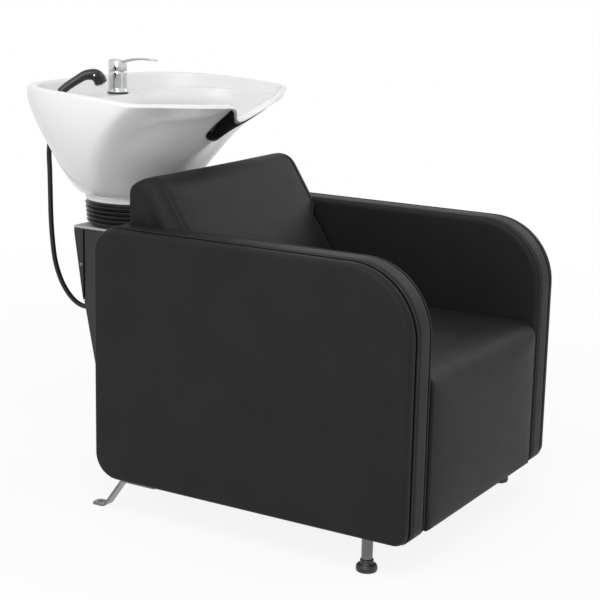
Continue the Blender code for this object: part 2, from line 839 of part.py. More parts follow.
def basin_ring(half_width, front, widest, rear, powers, height, dip=0.0, back=0.0):
    """One level outline of the basin: two half superellipses that meet at the widest place.

    The points lie at even angles round the widest place. Near the middle of the front, dip and back
    lower them and move them rearwards, which makes the neck notch.
    """
    ring = []
    for k in range(BASIN_POINTS):
        turn = 2 * math.pi * k / BASIN_POINTS
        across, along = math.cos(turn), math.sin(turn)
        reach = rear - widest if along >= 0 else widest - front
        power = powers[1] if along >= 0 else powers[0]
        spoke = (abs(across / half_width) ** power + abs(along / reach) ** power) ** (-1 / power)
        x = spoke * across
        y = widest + spoke * along
        z = height(y)
        if along < 0 and abs(x) < NOTCH_HALF:
            share = math.cos(math.pi / 2 * x / NOTCH_HALF) ** 2
            y += back * share
            z -= dip * share
        ring.append((x, y, z))
    return ring


def notch_share(level):
    """How much of the neck notch reaches a level of the wall: all at the rim, none near the collar."""
    return max(0.0, (level - NOTCH_START) / (1 - NOTCH_START))


def rising(level, curve, flat):
    """0 at the collar and 1 at the rim: nearly straight, then upright under the rim."""
    rise = level**curve
    return (flat * rise - rise**flat) / (flat - 1)


def wall_sizes(level):
    """Half width, front, widest place, rear and powers of the outer wall, from collar (0) to rim (1)."""
    side = rising(level, SIDE_CURVE, SIDE_FLAT)
    behind = rising(level, REAR_CURVE, REAR_FLAT)
    collar_front = COLLAR_Y - COLLAR_R
    collar_rear = COLLAR_Y + COLLAR_R
    half_width = COLLAR_R + (BASIN_WIDTH / 2 - COLLAR_R) * side
    front = collar_front + (RIM_FRONT - collar_front) * level**FRONT_CURVE
    widest = COLLAR_Y + (RIM_WIDEST_Y - COLLAR_Y) * level**MIDDLE_CURVE
    rear = collar_rear + (RIM_REAR - collar_rear) * behind
    bow = 2 + (RIM_FRONT_POWER - 2) * level - BOW * math.sin(math.pi * level**BOW_CURVE)
    powers = (bow, 2 + (RIM_REAR_POWER - 2) * behind)
    return half_width, front, widest, rear, powers


def outer_ring(level):
    half_width, front, widest, rear, powers = wall_sizes(level)
    share = notch_share(level)

    def height(y):
        return COLLAR_TOP + (rim_height(y) - LIP_ROUND - COLLAR_TOP) * level

    return basin_ring(
        half_width, front, widest, rear, powers, height, NOTCH_DEPTH * share, NOTCH_BACK * share**2
    )


def inner_ring(level):
    half_width, front, widest, _, powers = wall_sizes(level)
    share = notch_share(level)
    reach = widest - front
    shrink = 1 - BOWL_WALL * math.hypot(half_width, reach) / (half_width * reach)

    def height(y):
        return COLLAR_TOP + (ledge_height(y) - COLLAR_TOP) * level

    return basin_ring(
        half_width * shrink, widest - reach * shrink, widest, BOWL_REAR,
        (powers[0], 3.0), height, NOTCH_DEPTH * share, NOTCH_BACK * share**2,
    )


def lip_ring(inward, down):
    """A ring of the rounded lip, moved in from the rim's outer edge and down from its top."""
    half_width, front, widest, rear, powers = wall_sizes(1.0)

    def height(y):
        return rim_height(y) - down

    return basin_ring(
        half_width - inward, front + inward, widest, rear - inward, powers, height,
        NOTCH_DEPTH, NOTCH_BACK,
    )


def ledge_ring(inward, rear):
    half_width, front, widest, _, powers = wall_sizes(1.0)

    return basin_ring(
        half_width - inward, front + inward, widest, rear, powers, ledge_height, NOTCH_DEPTH, NOTCH_BACK
    )


def round_ring(radius, y, z):
    return [
        (radius * math.cos(2 * math.pi * k / BASIN_POINTS), y + radius * math.sin(2 * math.pi * k / BASIN_POINTS), z)
        for k in range(BASIN_POINTS)
    ]


def basin_rings():
    """All rings of the basin's skin, from the drain up the bowl, over the lip, down to the collar."""
    bore = DRAIN_R + SLIP
    rings = [
        round_ring(bore, DRAIN_Y, FLOOR_Z),
        basin_ring(
            FLOOR_HALF, DRAIN_Y - FLOOR_HALF, DRAIN_Y, BOWL_REAR - 0.012, (2.0, 2.4), lambda y: FLOOR_Z + 0.002
        ),
    ]
    rings += [inner_ring(level) for level in (0.14, 0.24, 0.40, 0.58, 0.76, 0.90)]
    ledge = LIP_WIDTH + 0.006
    rings.append(ledge_ring(ledge + 0.007, BOWL_REAR + 0.005))
    rings.append(ledge_ring(ledge, RIM_REAR - ledge))
    rings += [lip_turn_ring(math.pi * k / 4) for k in range(5)]
    rings += [outer_ring(level) for level in OUTER_LEVELS[1:]]
    rings.append(round_ring(COLLAR_R, COLLAR_Y, COLLAR_TOP - 0.003))
    rings.append(round_ring(COLLAR_R, COLLAR_Y, COLLAR_Z))
    rings.append(round_ring(COLLAR_R - COLLAR_WALL, COLLAR_Y, COLLAR_Z))
    rings.append(round_ring(COLLAR_R - COLLAR_WALL, COLLAR_Y, FLOOR_UNDER))
    rings.append(round_ring(bore, DRAIN_Y, FLOOR_UNDER))
    return rings


def basin():
    """The ceramic basin, with its plumbing room under the deck and the holes for mixer and dock."""
    bowl = loft("basin", basin_rings(), CERAMIC, closed=True)
    room_front = BOWL_REAR + 0.013
    pocket(bowl, (-0.19, room_front, 0.80), (0.19, DOCK_Y + 0.0165, DECK_UNDER))
    pocket(bowl, (-0.1835, room_front + 0.002, 0.7735), (0.1835, RIM_REAR + 0.03, 0.846))
    pocket(bowl, (-0.055, room_front + 0.004, COLLAR_Z - 0.01), (0.055, COLLAR_Y + 0.085, 0.81))
    deck = (DECK_UNDER - 0.02, DECK_Z + 0.02)
    hole(bowl, SHANK_R + SLIP, (0, MIXER_Y, deck[0]), (0, MIXER_Y, deck[1]))
    dock = DOCK_BORE + DOCK_WALL + TOUCH
    hole(bowl, dock, (DOCK_X, DOCK_Y, deck[0]), (DOCK_X, DOCK_Y, deck[1]))
    return bowl


def lip_turn_ring(turn):
    """The lip's half round: turn 0 is its inner edge, a quarter turn its top, a half turn its outer edge."""
    return lip_ring(LIP_WIDTH / 2 * (1 + math.cos(turn)), LIP_ROUND * (1 - math.sin(turn)))


def wall_point(k, level):
    """A point of the outer skin as it is built: straight between two neighbouring rings."""
    for high, low in zip(OUTER_LEVELS, OUTER_LEVELS[1:]):
        if level >= low:
            share = (high - level) / (high - low)
            return Vector(outer_ring(high)[k]).lerp(Vector(outer_ring(low)[k]), share)


def neck_rest():
    """A rubber saddle over the notch, which hangs further down the outside at its two ends.

    Its skins are the basin's own surface moved outwards, by the seat gap and by the pad thickness.
    """
    edge = lip_turn_ring(math.pi)
    front = [k for k in range(BASIN_POINTS) if k > BASIN_POINTS / 2 and abs(edge[k][0]) < NECK_HALF]
    columns = []
    for k in front:
        depth = NECK_DROP + NECK_WING * (edge[k][0] / NECK_HALF) ** 2
        column = [Vector(lip_turn_ring(math.pi * j / 4)[k]) for j in range(5)]
        first = 1 - OUTER_LEVELS[1]
        column += [wall_point(k, 1 - first - (depth - first) * j / 2) for j in (0, 1, 2)]
        columns.append(column)
    last = len(columns) - 1
    rows = len(columns[0]) - 1
    rings = []
    for i, column in enumerate(columns):
        taper = 0.55 if i in (0, last) else 1.0
        seat, top = [], []
        for j, here in enumerate(column):
            along = column[min(rows, j + 1)] - column[max(0, j - 1)]
            across = columns[min(last, i + 1)][j] - columns[max(0, i - 1)][j]
            normal = along.cross(across).normalized()
            thick = NECK_PAD * taper * (0.5 if j in (0, rows) else 1.0)
            seat.append(here + normal * NECK_GAP)
            top.append(here + normal * thick)
        rings.append(seat + top[::-1])
    return loft("neck_rest", rings, RUBBER)


# Tilt hinge
def tilt_hinge():
    """On each side: an ear on the column, a bracket under the basin, a bush and a pin."""
    low_y, high_y = DRAIN_Y - EAR_WIDTH / 2, DRAIN_Y + EAR_WIDTH / 2
    bush_r = PIN_R + SLIP / 2 + BUSH_WALL
    for word, side in (("right", -1), ("left", 1)):
        near = EAR_X - EAR_GAP - EAR_THICK
        bracket_x = sorted((side * near, side * (near + EAR_THICK)))
        bracket = box(
            f"{word}_basin_bracket",
            (bracket_x[0], low_y, HINGE_Z - EAR_WIDTH / 2),
            (bracket_x[1], high_y, FLOOR_UNDER - TOUCH),
            STEEL,
        )
        foot_x = sorted((side * near, side * (near + 0.026)))
        foot = box(
            f"{word}_bracket_foot",
            (foot_x[0], low_y, FLOOR_UNDER - TOUCH - 0.005),
            (foot_x[1], high_y, FLOOR_UNDER - TOUCH),
            None,
            0.0,
            CUTTERS,
        )
        cut(bracket, foot, "UNION")
        ear_x = sorted((side * EAR_X, side * (EAR_X + EAR_THICK)))
        ear = box(
            f"{word}_hinge_ear",
            (ear_x[0], low_y, PLATE_TOP + TOUCH),
            (ear_x[1], high_y, HINGE_Z + EAR_WIDTH / 2 - 0.004),
            STEEL,
        )
        base_x = sorted((side * EAR_X, side * (EAR_X + 0.022)))
        base = box(
            f"{word}_ear_foot",
            (base_x[0], low_y, PLATE_TOP + TOUCH),
            (base_x[1], high_y, PLATE_TOP + TOUCH + 0.005),
            None,
            0.0,
            CUTTERS,
        )
        cut(ear, base, "UNION")
        axis = Vector((0, DRAIN_Y, HINGE_Z))
        out = Vector((side, 0, 0))
        hole(bracket, bush_r + TOUCH, axis + out * (near - 0.01), axis + out * (near + EAR_THICK + 0.0005))
        hole(ear, PIN_R + TOUCH, axis + out * (EAR_X - 0.0005), axis + out * (EAR_X + EAR_THICK + 0.01))
        sleeve = [
            (bush_r, EAR_THICK / 2),
            (bush_r, -EAR_THICK / 2),
            (PIN_R + SLIP / 2, -EAR_THICK / 2),
            (PIN_R + SLIP / 2, EAR_THICK / 2),
        ]
        bush = turned(f"{word}_hinge_bush", sleeve, axis + out * (near + EAR_THICK / 2), NYLON, 16, ring=True)
        bush.rotation_euler = (0.0, side * math.pi / 2, 0.0)
        head = EAR_X + EAR_THICK + TOUCH
        shape = [
            (0.0, head + 0.003),
            (PIN_R * 1.6, head + 0.003),
            (PIN_R * 1.6, head),
            (PIN_R, head),
            (PIN_R, near - 0.001),
            (0.0, near - 0.001),
        ]
        pin = turned(f"{word}_hinge_pin", shape, axis, CHROME, 16)
        pin.rotation_euler = (0.0, side * math.pi / 2, 0.0)


def bellows():
    """A ribbed rubber gaiter from the column's top plate to the basin's collar."""
    low = PLATE_TOP + TOUCH
    high = COLLAR_Z - TOUCH
    cuff = 0.006
    pitch = (high - low - 2 * cuff) / BELLOWS_RIBS
    cuff_r = BELLOWS_R + BELLOWS_FLARE - 0.003
    outer = [(cuff_r, high), (cuff_r, high - cuff)]
    for rib in range(BELLOWS_RIBS):
        crest = BELLOWS_R + BELLOWS_FLARE * (1 - (rib + 0.5) / BELLOWS_RIBS)
        outer.append((crest, high - cuff - (rib + 0.3) * pitch))
        outer.append((crest - BELLOWS_RIB, high - cuff - (rib + 0.8) * pitch))
    outer += [(BELLOWS_R - 0.001, low + cuff), (BELLOWS_R - 0.001, low)]
    inner = [(radius - BELLOWS_WALL, z) for radius, z in reversed(outer)]
    return turned("bellows", outer + inner, (0, COLLAR_Y, 0), RUBBER, 30, ring=True)


# Drain
def drain():
    flange_low = FLOOR_Z + 0.0024
    flange_top = flange_low + DRAIN_FLANGE
    bore = DRAIN_R - DRAIN_WALL
    shape = [
        (DRAIN_FLANGE_R - 0.002, flange_top),
        (DRAIN_FLANGE_R, flange_top - 0.001),
        (DRAIN_FLANGE_R, flange_low),
        (DRAIN_R, flange_low),
        (DRAIN_R, DRAIN_TAIL_Z),
        (bore, DRAIN_TAIL_Z),
        (bore, flange_top),
    ]
    turned("drain_flange", shape, (0, DRAIN_Y, 0), CHROME, 24, ring=True)
    nut_top = FLOOR_UNDER - TOUCH
    nut = [
        (NUT_R, nut_top),
        (NUT_R, nut_top - NUT_HEIGHT),
        (DRAIN_R + TOUCH, nut_top - NUT_HEIGHT),
        (DRAIN_R + TOUCH, nut_top),
    ]
    turned("drain_nut", nut, (0, DRAIN_Y, 0), CHROME, 24, ring=True)
    rest = flange_top + TOUCH
    basket = bore - SLIP
    strainer_shape = [
        (0.0, rest + 0.010),
        (0.004, rest + 0.010),
        (0.005, rest + 0.006),
        (0.003, rest + 0.004),
        (0.004, rest + 0.002),
        (basket + 0.002, rest + 0.002),
        (basket + 0.0026, rest),
        (basket, rest),
        (basket * 0.92, rest - STRAINER_DEPTH),
        (0.0, rest - STRAINER_DEPTH),
    ]
    strainer = turned("hair_strainer", strainer_shape, (0, DRAIN_Y, 0), CHROME, 24)
    for k in range(6):
        turn = 2 * math.pi * k / 6
        spot = Vector((0.0125 * math.cos(turn), DRAIN_Y + 0.0125 * math.sin(turn), rest))
        hole(strainer, 0.0032, spot - Vector((0, 0, 0.03)), spot + Vector((0, 0, 0.03)), 8)
    cup_low = DRAIN_TAIL_Z - 0.022
    pipe = [
        (WASTE_CUP_R, DRAIN_TAIL_Z + 0.006),
        (WASTE_CUP_R, cup_low),
        (WASTE_R, cup_low - 0.020),
        (WASTE_R, COLUMN_BOTTOM + 0.012),
        (WASTE_R - 0.002, COLUMN_BOTTOM + 0.012),
        (WASTE_R - 0.002, cup_low - 0.019),
        (WASTE_CUP_R - 0.002, cup_low + 0.001),
        (WASTE_CUP_R - 0.002, DRAIN_TAIL_Z + 0.006),
    ]
    turned("waste_pipe", pipe, (0, DRAIN_Y, 0), PLASTIC, 24, ring=True)


# Mixer
def mixer():
    gasket = [
        (GASKET_R - 0.001, GASKET_Z + GASKET_THICK),
        (GASKET_R, GASKET_Z + GASKET_THICK - 0.001),
        (GASKET_R, GASKET_Z),
        (SHANK_R + SLIP, GASKET_Z),
        (SHANK_R + SLIP, GASKET_Z + GASKET_THICK),
    ]
    turned("mixer_gasket", gasket, (0, MIXER_Y, 0), RUBBER, 24, ring=True)
    socket = BODY_TOP - 0.018
    body = [
        (0.0, socket),
        (STEM_R + SLIP, socket),
        (STEM_R + SLIP, BODY_TOP),
        (MIXER_R - 0.0015, BODY_TOP),
        (MIXER_R, BODY_TOP - 0.0015),
        (MIXER_R, BODY_Z + 0.006),
        (MIXER_R + 0.0012, BODY_Z + 0.003),
        (MIXER_R + 0.0012, BODY_Z),
        (SHANK_R, BODY_Z),
        (SHANK_R, BODY_Z - SHANK_LENGTH),
        (0.0, BODY_Z - SHANK_LENGTH),
    ]
    turned("mixer_body", body, (0, MIXER_Y, 0), CHROME, 28)
    nut_top = DECK_UNDER - TOUCH
    nut = [
        (MIXER_NUT_R, nut_top),
        (MIXER_NUT_R, nut_top - NUT_HEIGHT),
        (SHANK_R + TOUCH, nut_top - NUT_HEIGHT),
        (SHANK_R + TOUCH, nut_top),
    ]
    turned("mixer_nut", nut, (0, MIXER_Y, 0), CHROME, 24, ring=True)
    stem_top = CAP_Z + 0.010
    stem = [(0.0, stem_top), (STEM_R, stem_top), (STEM_R, socket + TOUCH), (0.0, socket + TOUCH)]
    turned("mixer_stem", stem, (0, MIXER_Y, 0), CHROME, 20)
    mixer_handle(stem_top)


def mixer_handle(stem_top):
    """The cap over the stem and the curved lever that grows out of its top."""
    top = CAP_Z + CAP_HEIGHT
    room = STEM_R + 0.004
    cap = [
        (0.0, top - 0.004),
        (MIXER_R * 0.86, top - 0.003),
        (MIXER_R * 0.97, top - 0.0005),
        (MIXER_R, top - 0.002),
        (MIXER_R, CAP_Z + 0.001),
        (MIXER_R - 0.001, CAP_Z),
        (room, CAP_Z),
        (room, stem_top + TOUCH + 0.001),
        (0.0, stem_top + TOUCH + 0.001),
    ]
    handle = turned("mixer_handle", cap, (0, MIXER_Y, 0), CHROME, 32)
    rings = []
    count = 9
    for k in range(count + 1):
        share = k / count
        y = MIXER_Y - 0.004 - (LEVER_REACH - 0.004) * share
        z = top - 0.0065 + 0.011 * share + 0.006 * math.sin(math.pi * share)
        half = LEVER_WIDTH / 2 * (0.72 + 0.28 * share) * (1 - 0.35 * max(0.0, share - 0.85) / 0.15)
        thick = LEVER_THICK * (1 - 0.45 * share)
        rings.append(
            [
                (-half, y, z),
                (-0.7 * half, y, z - 0.6 * thick),
                (0.7 * half, y, z - 0.6 * thick),
                (half, y, z),
                (0.7 * half, y, z + 0.4 * thick),
                (-0.7 * half, y, z + 0.4 * thick),
            ]
        )
    lever = loft("mixer_lever_form", rings, None, group=CUTTERS)
    cut(handle, lever, "UNION")
    handle.data.materials.append(CHROME)


# Hand shower
def hand_shower():
    flange_top = DECK_Z + TOUCH + DOCK_FLANGE_THICK
    sleeve_r = DOCK_BORE + DOCK_WALL
    dock = [
        (sleeve_r + DOCK_FLANGE - 0.001, flange_top),
        (sleeve_r + DOCK_FLANGE, flange_top - 0.0015),
        (sleeve_r + DOCK_FLANGE, DECK_Z + TOUCH),
        (sleeve_r, DECK_Z + TOUCH),
        (sleeve_r, flange_top - DOCK_LENGTH),
        (DOCK_BORE, flange_top - DOCK_LENGTH),
        (DOCK_BORE, flange_top),
    ]
    turned("handset_dock", dock, (DOCK_X, DOCK_Y, 0), PLASTIC, 24, ring=True)
    root = Vector((DOCK_X, DOCK_Y, flange_top))
    points = [root + Vector((0, 0, -SHANK_IN_DOCK)), root + Vector((0, 0, TOUCH))]
    radii = [DOCK_BORE - DOCK_SLIP] * 2
    route = [
        root + Vector((0, 0, 0.0035)),
        root + Vector((0.002, -0.002, 0.010)),
        root + Vector((0.012, -0.010, 0.021)),
        root + Vector((0.029, -0.024, 0.035)),
        root + Vector((0.050, -0.040, 0.046)),
        root + Vector((0.069, -0.053, 0.046)),
        root + Vector((0.079, -0.060, 0.038)),
        root + Vector((0.083, -0.063, 0.027)),
    ]
    for p in through(route, 0.010):
        forward = max(0.0, min(1.0, (p.x - DOCK_X) / 0.070))
        points.append(p)
        radii.append(HANDLE_R + (HEAD_R - HANDLE_R) * forward**3)
    tube("hand_shower", points, radii, PLASTIC, 4)
    aim = (points[-1] - points[-2]).normalized()
    face = points[-1] + aim * TOUCH
    cylinder("spray_face", HEAD_R - 0.001, face, face + aim * SPRAY_THICK, CHROME, 24)


# Hoses
def hoses():
    """The shower hose hangs in a loop; three tails run from the mixer down into the column."""
    mouth, outward = grommet_place()
    flange = [
        (GROMMET_R + 0.004, 0.004),
        (GROMMET_R + 0.004, TOUCH),
        (GROMMET_R - TOUCH, TOUCH),
        (GROMMET_R - TOUCH, -0.010),
        (HOSE_R + TOUCH, -0.010),
        (HOSE_R + TOUCH, 0.004),
    ]
    grommet = turned("hose_grommet", flange, mouth, RUBBER, 24, ring=True)
    grommet.rotation_euler = (math.atan2(-outward.y, outward.z), 0.0, 0.0)
    start = Vector((DOCK_X, DOCK_Y, DECK_Z + TOUCH + DOCK_FLANGE_THICK - SHANK_IN_DOCK - TOUCH))
    end = mouth - outward * 0.008
    route = [
        start,
        start + Vector((0, 0, -0.013)),
        (-0.170, 0.475, 0.809),
        (-0.162, 0.495, 0.797),
        (-0.150, 0.518, 0.784),
        (-0.140, 0.531, 0.755),
        (-0.135, 0.534, 0.710),
        (-0.133, 0.535, 0.660),
        (-0.132, 0.535, 0.600),
        (-0.129, 0.534, 0.545),
        (-0.124, 0.530, 0.490),
        (-0.115, 0.520, 0.443),
        (-0.103, 0.505, 0.407),
        (-0.091, 0.487, 0.385),
        mouth + outward * 0.014,
        end,
    ]
    tube("shower_hose", through(route, 0.018), HOSE_R, RUBBER, 2)
    top = BODY_Z - SHANK_LENGTH - TOUCH
    low = COLUMN_BOTTOM + 0.012
    for name, x in (("hot_supply_hose", -0.0066), ("cold_supply_hose", 0.0066)):
        line = [(x, MIXER_Y, top), (x, MIXER_Y, 0.70), (x * 2, MIXER_Y - 0.006, 0.60), (x * 3, MIXER_Y - 0.012, 0.45)]
        line += [(x * 5, MIXER_Y - 0.035, 0.30), (x * 5, MIXER_Y - 0.070, low)]
        tube(name, through(line, 0.05), TAIL_R, RUBBER, 1)
    inlet = mouth - outward * (0.010 + TOUCH)
    mixed = [
        (0, MIXER_Y + 0.012, top),
        (0, MIXER_Y + 0.014, 0.70),
        (-0.008, MIXER_Y + 0.012, 0.60),
        (-0.035, MIXER_Y - 0.008, 0.50),
        (-0.066, MIXER_Y - 0.034, 0.42),
        inlet - outward * 0.020,
        inlet,
    ]
    tube("mixed_water_hose", through(mixed, 0.03), TAIL_R, RUBBER, 1)


for word, side in (("right", -1), ("left", 1)):
    arm_panel(f"{word}_arm_panel", side)
    front_leg(word, side)
    strap_foot(word, side)
seat_cushion()
back_cushion()
chair_structure()
column()
basin()
neck_rest()
tilt_hinge()
bellows()
drain()
mixer()
hand_shower()
hoses()
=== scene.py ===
# %% [markdown]
# # A salon backwash unit, dressed piece by piece
# The unit is an upholstered armchair with a glazed basin on a column behind it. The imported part
# holds every solid and joint already, so this lesson gives each visible piece its fine shape and its
# finish. Most new pieces lie where a solid is and stand for it. A few depart from theirs: the arms are
# thicker, the seat between them is narrower and reaches further forward, and the neck rest and the
# bellows are wider.

# %% Load the frame
import math

import bpy
import numpy as np
from mathutils import Matrix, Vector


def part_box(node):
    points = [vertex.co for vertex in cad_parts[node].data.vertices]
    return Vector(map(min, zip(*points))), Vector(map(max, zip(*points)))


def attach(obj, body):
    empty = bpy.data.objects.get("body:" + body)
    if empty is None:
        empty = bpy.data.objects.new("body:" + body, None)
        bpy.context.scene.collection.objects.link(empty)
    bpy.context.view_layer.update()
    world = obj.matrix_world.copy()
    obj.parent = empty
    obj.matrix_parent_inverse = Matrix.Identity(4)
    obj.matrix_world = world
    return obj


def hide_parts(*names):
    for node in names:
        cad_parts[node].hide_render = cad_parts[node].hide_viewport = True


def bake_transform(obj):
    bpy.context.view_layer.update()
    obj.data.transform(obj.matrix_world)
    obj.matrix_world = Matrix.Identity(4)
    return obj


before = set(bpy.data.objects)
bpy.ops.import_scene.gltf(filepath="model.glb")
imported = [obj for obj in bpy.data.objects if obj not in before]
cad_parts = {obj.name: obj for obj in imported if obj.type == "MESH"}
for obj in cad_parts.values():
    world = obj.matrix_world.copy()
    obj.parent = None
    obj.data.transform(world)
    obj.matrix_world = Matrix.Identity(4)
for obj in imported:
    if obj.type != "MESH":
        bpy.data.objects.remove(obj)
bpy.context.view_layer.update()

SCENE = bpy.context.scene

# %% [markdown]
# ## Skins over grids
# Nearly every piece here is a grid of points: rows along the piece and columns round it. A grid
# could be drawn by hand, but a formula gives all its points at once, keeps the seam closed, and
# tells from the signed volume whether the faces point outwards.


# %% Grid helpers
def grid_faces(rows, cols, wrap_rows):
    """Corner numbers of the quads between neighbours; columns always wrap, rows only when asked."""
    r, c = np.meshgrid(np.arange(rows if wrap_rows else rows - 1), np.arange(cols), indexing="ij")
    r_next, c_next = (r + 1) % rows, (c + 1) % cols
    corners = [r * cols + c, r * cols + c_next, r_next * cols + c_next, r_next * cols + c]
    return np.stack(corners, -1).reshape(-1, 4)


def signed_volume(points, quads):
    """Sum of a.(b x c)/6 over two triangles per face; below zero the skin is inside out."""
    a, b, c, d = (points[quads[:, k]] for k in range(4))
    return float(np.einsum("ij,ij->", a, np.cross(b, c) + np.cross(c, d)) / 6)


def put(name, points, faces, finish, sharp=40.0):
    """A new object at the origin from arrays, smooth except at edges sharper than an angle."""
    mesh = bpy.data.meshes.new(name)
    mesh.from_pydata(points.tolist(), [], faces)
    mesh.validate()
    mesh.update()
    mesh.shade_smooth()
    mesh.set_sharp_from_angle(angle=math.radians(sharp))
    piece = bpy.data.objects.new(name, mesh)
    SCENE.collection.objects.link(piece)
    mesh.materials.append(finish)
    return piece


def skin(name, grid, finish, wrap_rows=False, sharp=40.0):
    """A closed skin over a grid: columns wrap round, and two open ends get a fan from their middle."""
    rows, cols = grid.shape[:2]
    points = grid.reshape(-1, 3)
    quads = grid_faces(rows, cols, wrap_rows)
    fans = np.zeros((0, 3), int)
    if not wrap_rows:
        points = np.concatenate([points, grid[[0, -1]].mean(1)])
        c = np.arange(cols)
        after = (c + 1) % cols
        end = (rows - 1) * cols
        first = np.stack([np.full(cols, rows * cols), after, c], -1)
        last = np.stack([np.full(cols, rows * cols + 1), end + c, end + after], -1)
        fans = np.concatenate([first, last])
    padded_fans = np.concatenate([fans, fans[:, 2:]], -1)
    if signed_volume(points, np.concatenate([quads, padded_fans])) < 0:
        quads, fans = quads[:, ::-1], fans[:, ::-1]
    return put(name, points, quads.tolist() + fans.tolist(), finish, sharp)


def unit(vectors):
    """Each vector divided by its length."""
    return vectors / np.linalg.norm(vectors, axis=-1, keepdims=True)


# %% Line helpers
SIDES = (("right", -1), ("left", 1))


def run_along(points):
    """Length along a line up to each of its points, from 0."""
    steps = np.linalg.norm(np.diff(points, axis=0), axis=1)
    return np.concatenate([[0], np.cumsum(steps)])


def sample(points, run, even):
    """Points at given lengths along a line, interpolated between its own points."""
    return np.stack([np.interp(even, run, values) for values in points.T], -1)


def in_between(rows, each):
    """Extra rows between given ones: from b to c a cubic whose ends run along c - a and d - b."""
    ends = np.concatenate([[2 * rows[0] - rows[1]], rows, [2 * rows[-1] - rows[-2]]])
    a, b, c, d = (ends[k:len(ends) - 3 + k, None] for k in range(4))
    t = np.linspace(0, 1, each, endpoint=False).reshape(1, each, *[1] * (rows.ndim - 1))
    cubic = b + 0.5 * t * ((c - a) + t * ((2 * a - 5 * b + 4 * c - d) + t * (3 * b - a - 3 * c + d)))
    return np.concatenate([cubic.reshape(-1, *rows.shape[1:]), rows[-1:]])


# %% [markdown]
# ## The camera
# The picture was taken from in front and to the sitter's right, a little above the basin. The lens,
# place and turn come from the straight edges of the chair: the arms' top and bottom edges, their
# uprights and the front edge all have to fall on the same lines.

# %% Camera
IMAGE = 600.0
FOCAL = 1555.5
SENSOR = 36.0
EYE = np.array([-2.9584, -1.8556, 1.2539])
YAW, PITCH, ROLL = np.radians([-59.064, 13.034, 1.243])


def camera_axes(yaw, pitch, roll):
    """Right, up and back: back points from the scene to the eye, then roll mixes right and up."""
    back = np.array([np.sin(yaw) * np.cos(pitch), -np.cos(yaw) * np.cos(pitch), np.sin(pitch)])
    right = unit(np.cross(-back, [0.0, 0.0, 1.0]))
    up = np.cross(right, -back)
    turned_right = right * np.cos(roll) + up * np.sin(roll)
    return turned_right, up * np.cos(roll) - right * np.sin(roll), back


camera_data = bpy.data.cameras.new("camera")
camera_data.sensor_width = SENSOR
camera_data.lens = FOCAL * SENSOR / IMAGE
camera = bpy.data.objects.new("camera", camera_data)
SCENE.collection.objects.link(camera)
placing = np.eye(4)
placing[:3, :3] = np.stack(camera_axes(YAW, PITCH, ROLL), -1)
placing[:3, 3] = EYE
camera.matrix_world = Matrix(placing)
SCENE.camera = camera
print("lens", round(camera_data.lens, 2), "mm")

# %% [markdown]
# ## Shader maths as sentences
# A finish is a small network of nodes. Wrapping a socket in a class lets the maths be written as
# an expression, so `0.3 + noise * 0.1` adds its own Math nodes, and one method adds any other node.


# %% Socket class
class Tap:
    """One output of a node network; + - * after it, or a number + before it, add Math nodes."""

    def __init__(self, tree, socket=None):
        self.tree = tree
        self.socket = socket

    def node(self, kind, settings=None, sockets=None, out=0):
        """A new node of a type: its settings first, then its sockets' values or links."""
        made = self.tree.nodes.new("ShaderNode" + kind)
        for key, value in (settings or {}).items():
            setattr(made, key, value)
        for key, value in (sockets or {}).items():
            if isinstance(value, Tap):
                self.tree.links.new(value.socket, made.inputs[key])
            else:
                made.inputs[key].default_value = value
        return Tap(self.tree, made.outputs[out])

    def maths(self, operation, first, second):
        """A Math node on two values or taps."""
        return self.node("Math", {"operation": operation}, {0: first, 1: second})

    def __add__(self, other):
        return self.maths("ADD", self, other)

    def __radd__(self, other):
        return self.maths("ADD", other, self)

    def __sub__(self, other):
        return self.maths("SUBTRACT", self, other)

    def __mul__(self, other):
        return self.maths("MULTIPLY", self, other)


def grey(value, tint=0.0):
    """A nearly grey colour; a tint above zero is cooler."""
    return (value * (1 - tint), value, value * (1 + tint), 1.0)


# %% [markdown]
# ## Finishes
# Each finish has the same three layers: a colour that drifts a little over the piece, a roughness
# that drifts at another scale, as handling and cleaning leave it, and a fine relief. Colours, sizes
# and the relief's kind differ: pebbled grain on vinyl, faint waves in glaze, orange peel in powder coat.


# %% Finish maker
def finish(name, dark, light, rough, swing, patch, grain, relief, kind="Noise", **fixed):
    """Principled finish: colour from dark to light by broad noise, rough +- swing, and a bump.

    patch and grain are pattern sizes in cells per metre, relief is the bump's height in metres.
    fixed are the shader's other sockets, with spaces written as underscores.
    """
    material = bpy.data.materials.new(name)
    material.use_nodes = True
    tree = material.node_tree
    tree.nodes.clear()
    tap = Tap(tree)
    where = tap.node("TexCoord", out=3)
    broad = tap.node("TexNoise", None, {"Vector": where, "Scale": patch, "Detail": 3.0})
    handled = tap.node("TexNoise", None, {"Vector": where, "Scale": patch * 2.7, "Detail": 5.0})
    mix = {"data_type": "RGBA", "clamp_factor": True}
    colour = tap.node("Mix", mix, {0: broad * 1.6 - 0.3, 6: dark, 7: light}, out=2)
    if kind == "Noise":
        fine = tap.node("TexNoise", None, {"Vector": where, "Scale": grain, "Detail": 2.0})
    else:
        pebble = {"feature": "SMOOTH_F1"}
        fine = tap.node("TexVoronoi", pebble, {"Vector": where, "Scale": grain, "Smoothness": 0.6})
    bump = tap.node("Bump", None, {"Height": fine, "Strength": 1.0, "Distance": relief})
    roughness = (rough - swing) + handled * (2 * swing)
    sockets = {"Base Color": colour, "Roughness": roughness, "Normal": bump}
    sockets.update({key.replace("_", " "): value for key, value in fixed.items()})
    shader = tap.node("BsdfPrincipled", None, sockets)
    output = tree.nodes.new("ShaderNodeOutputMaterial")
    tree.links.new(shader.socket, output.inputs["Surface"])
    return material


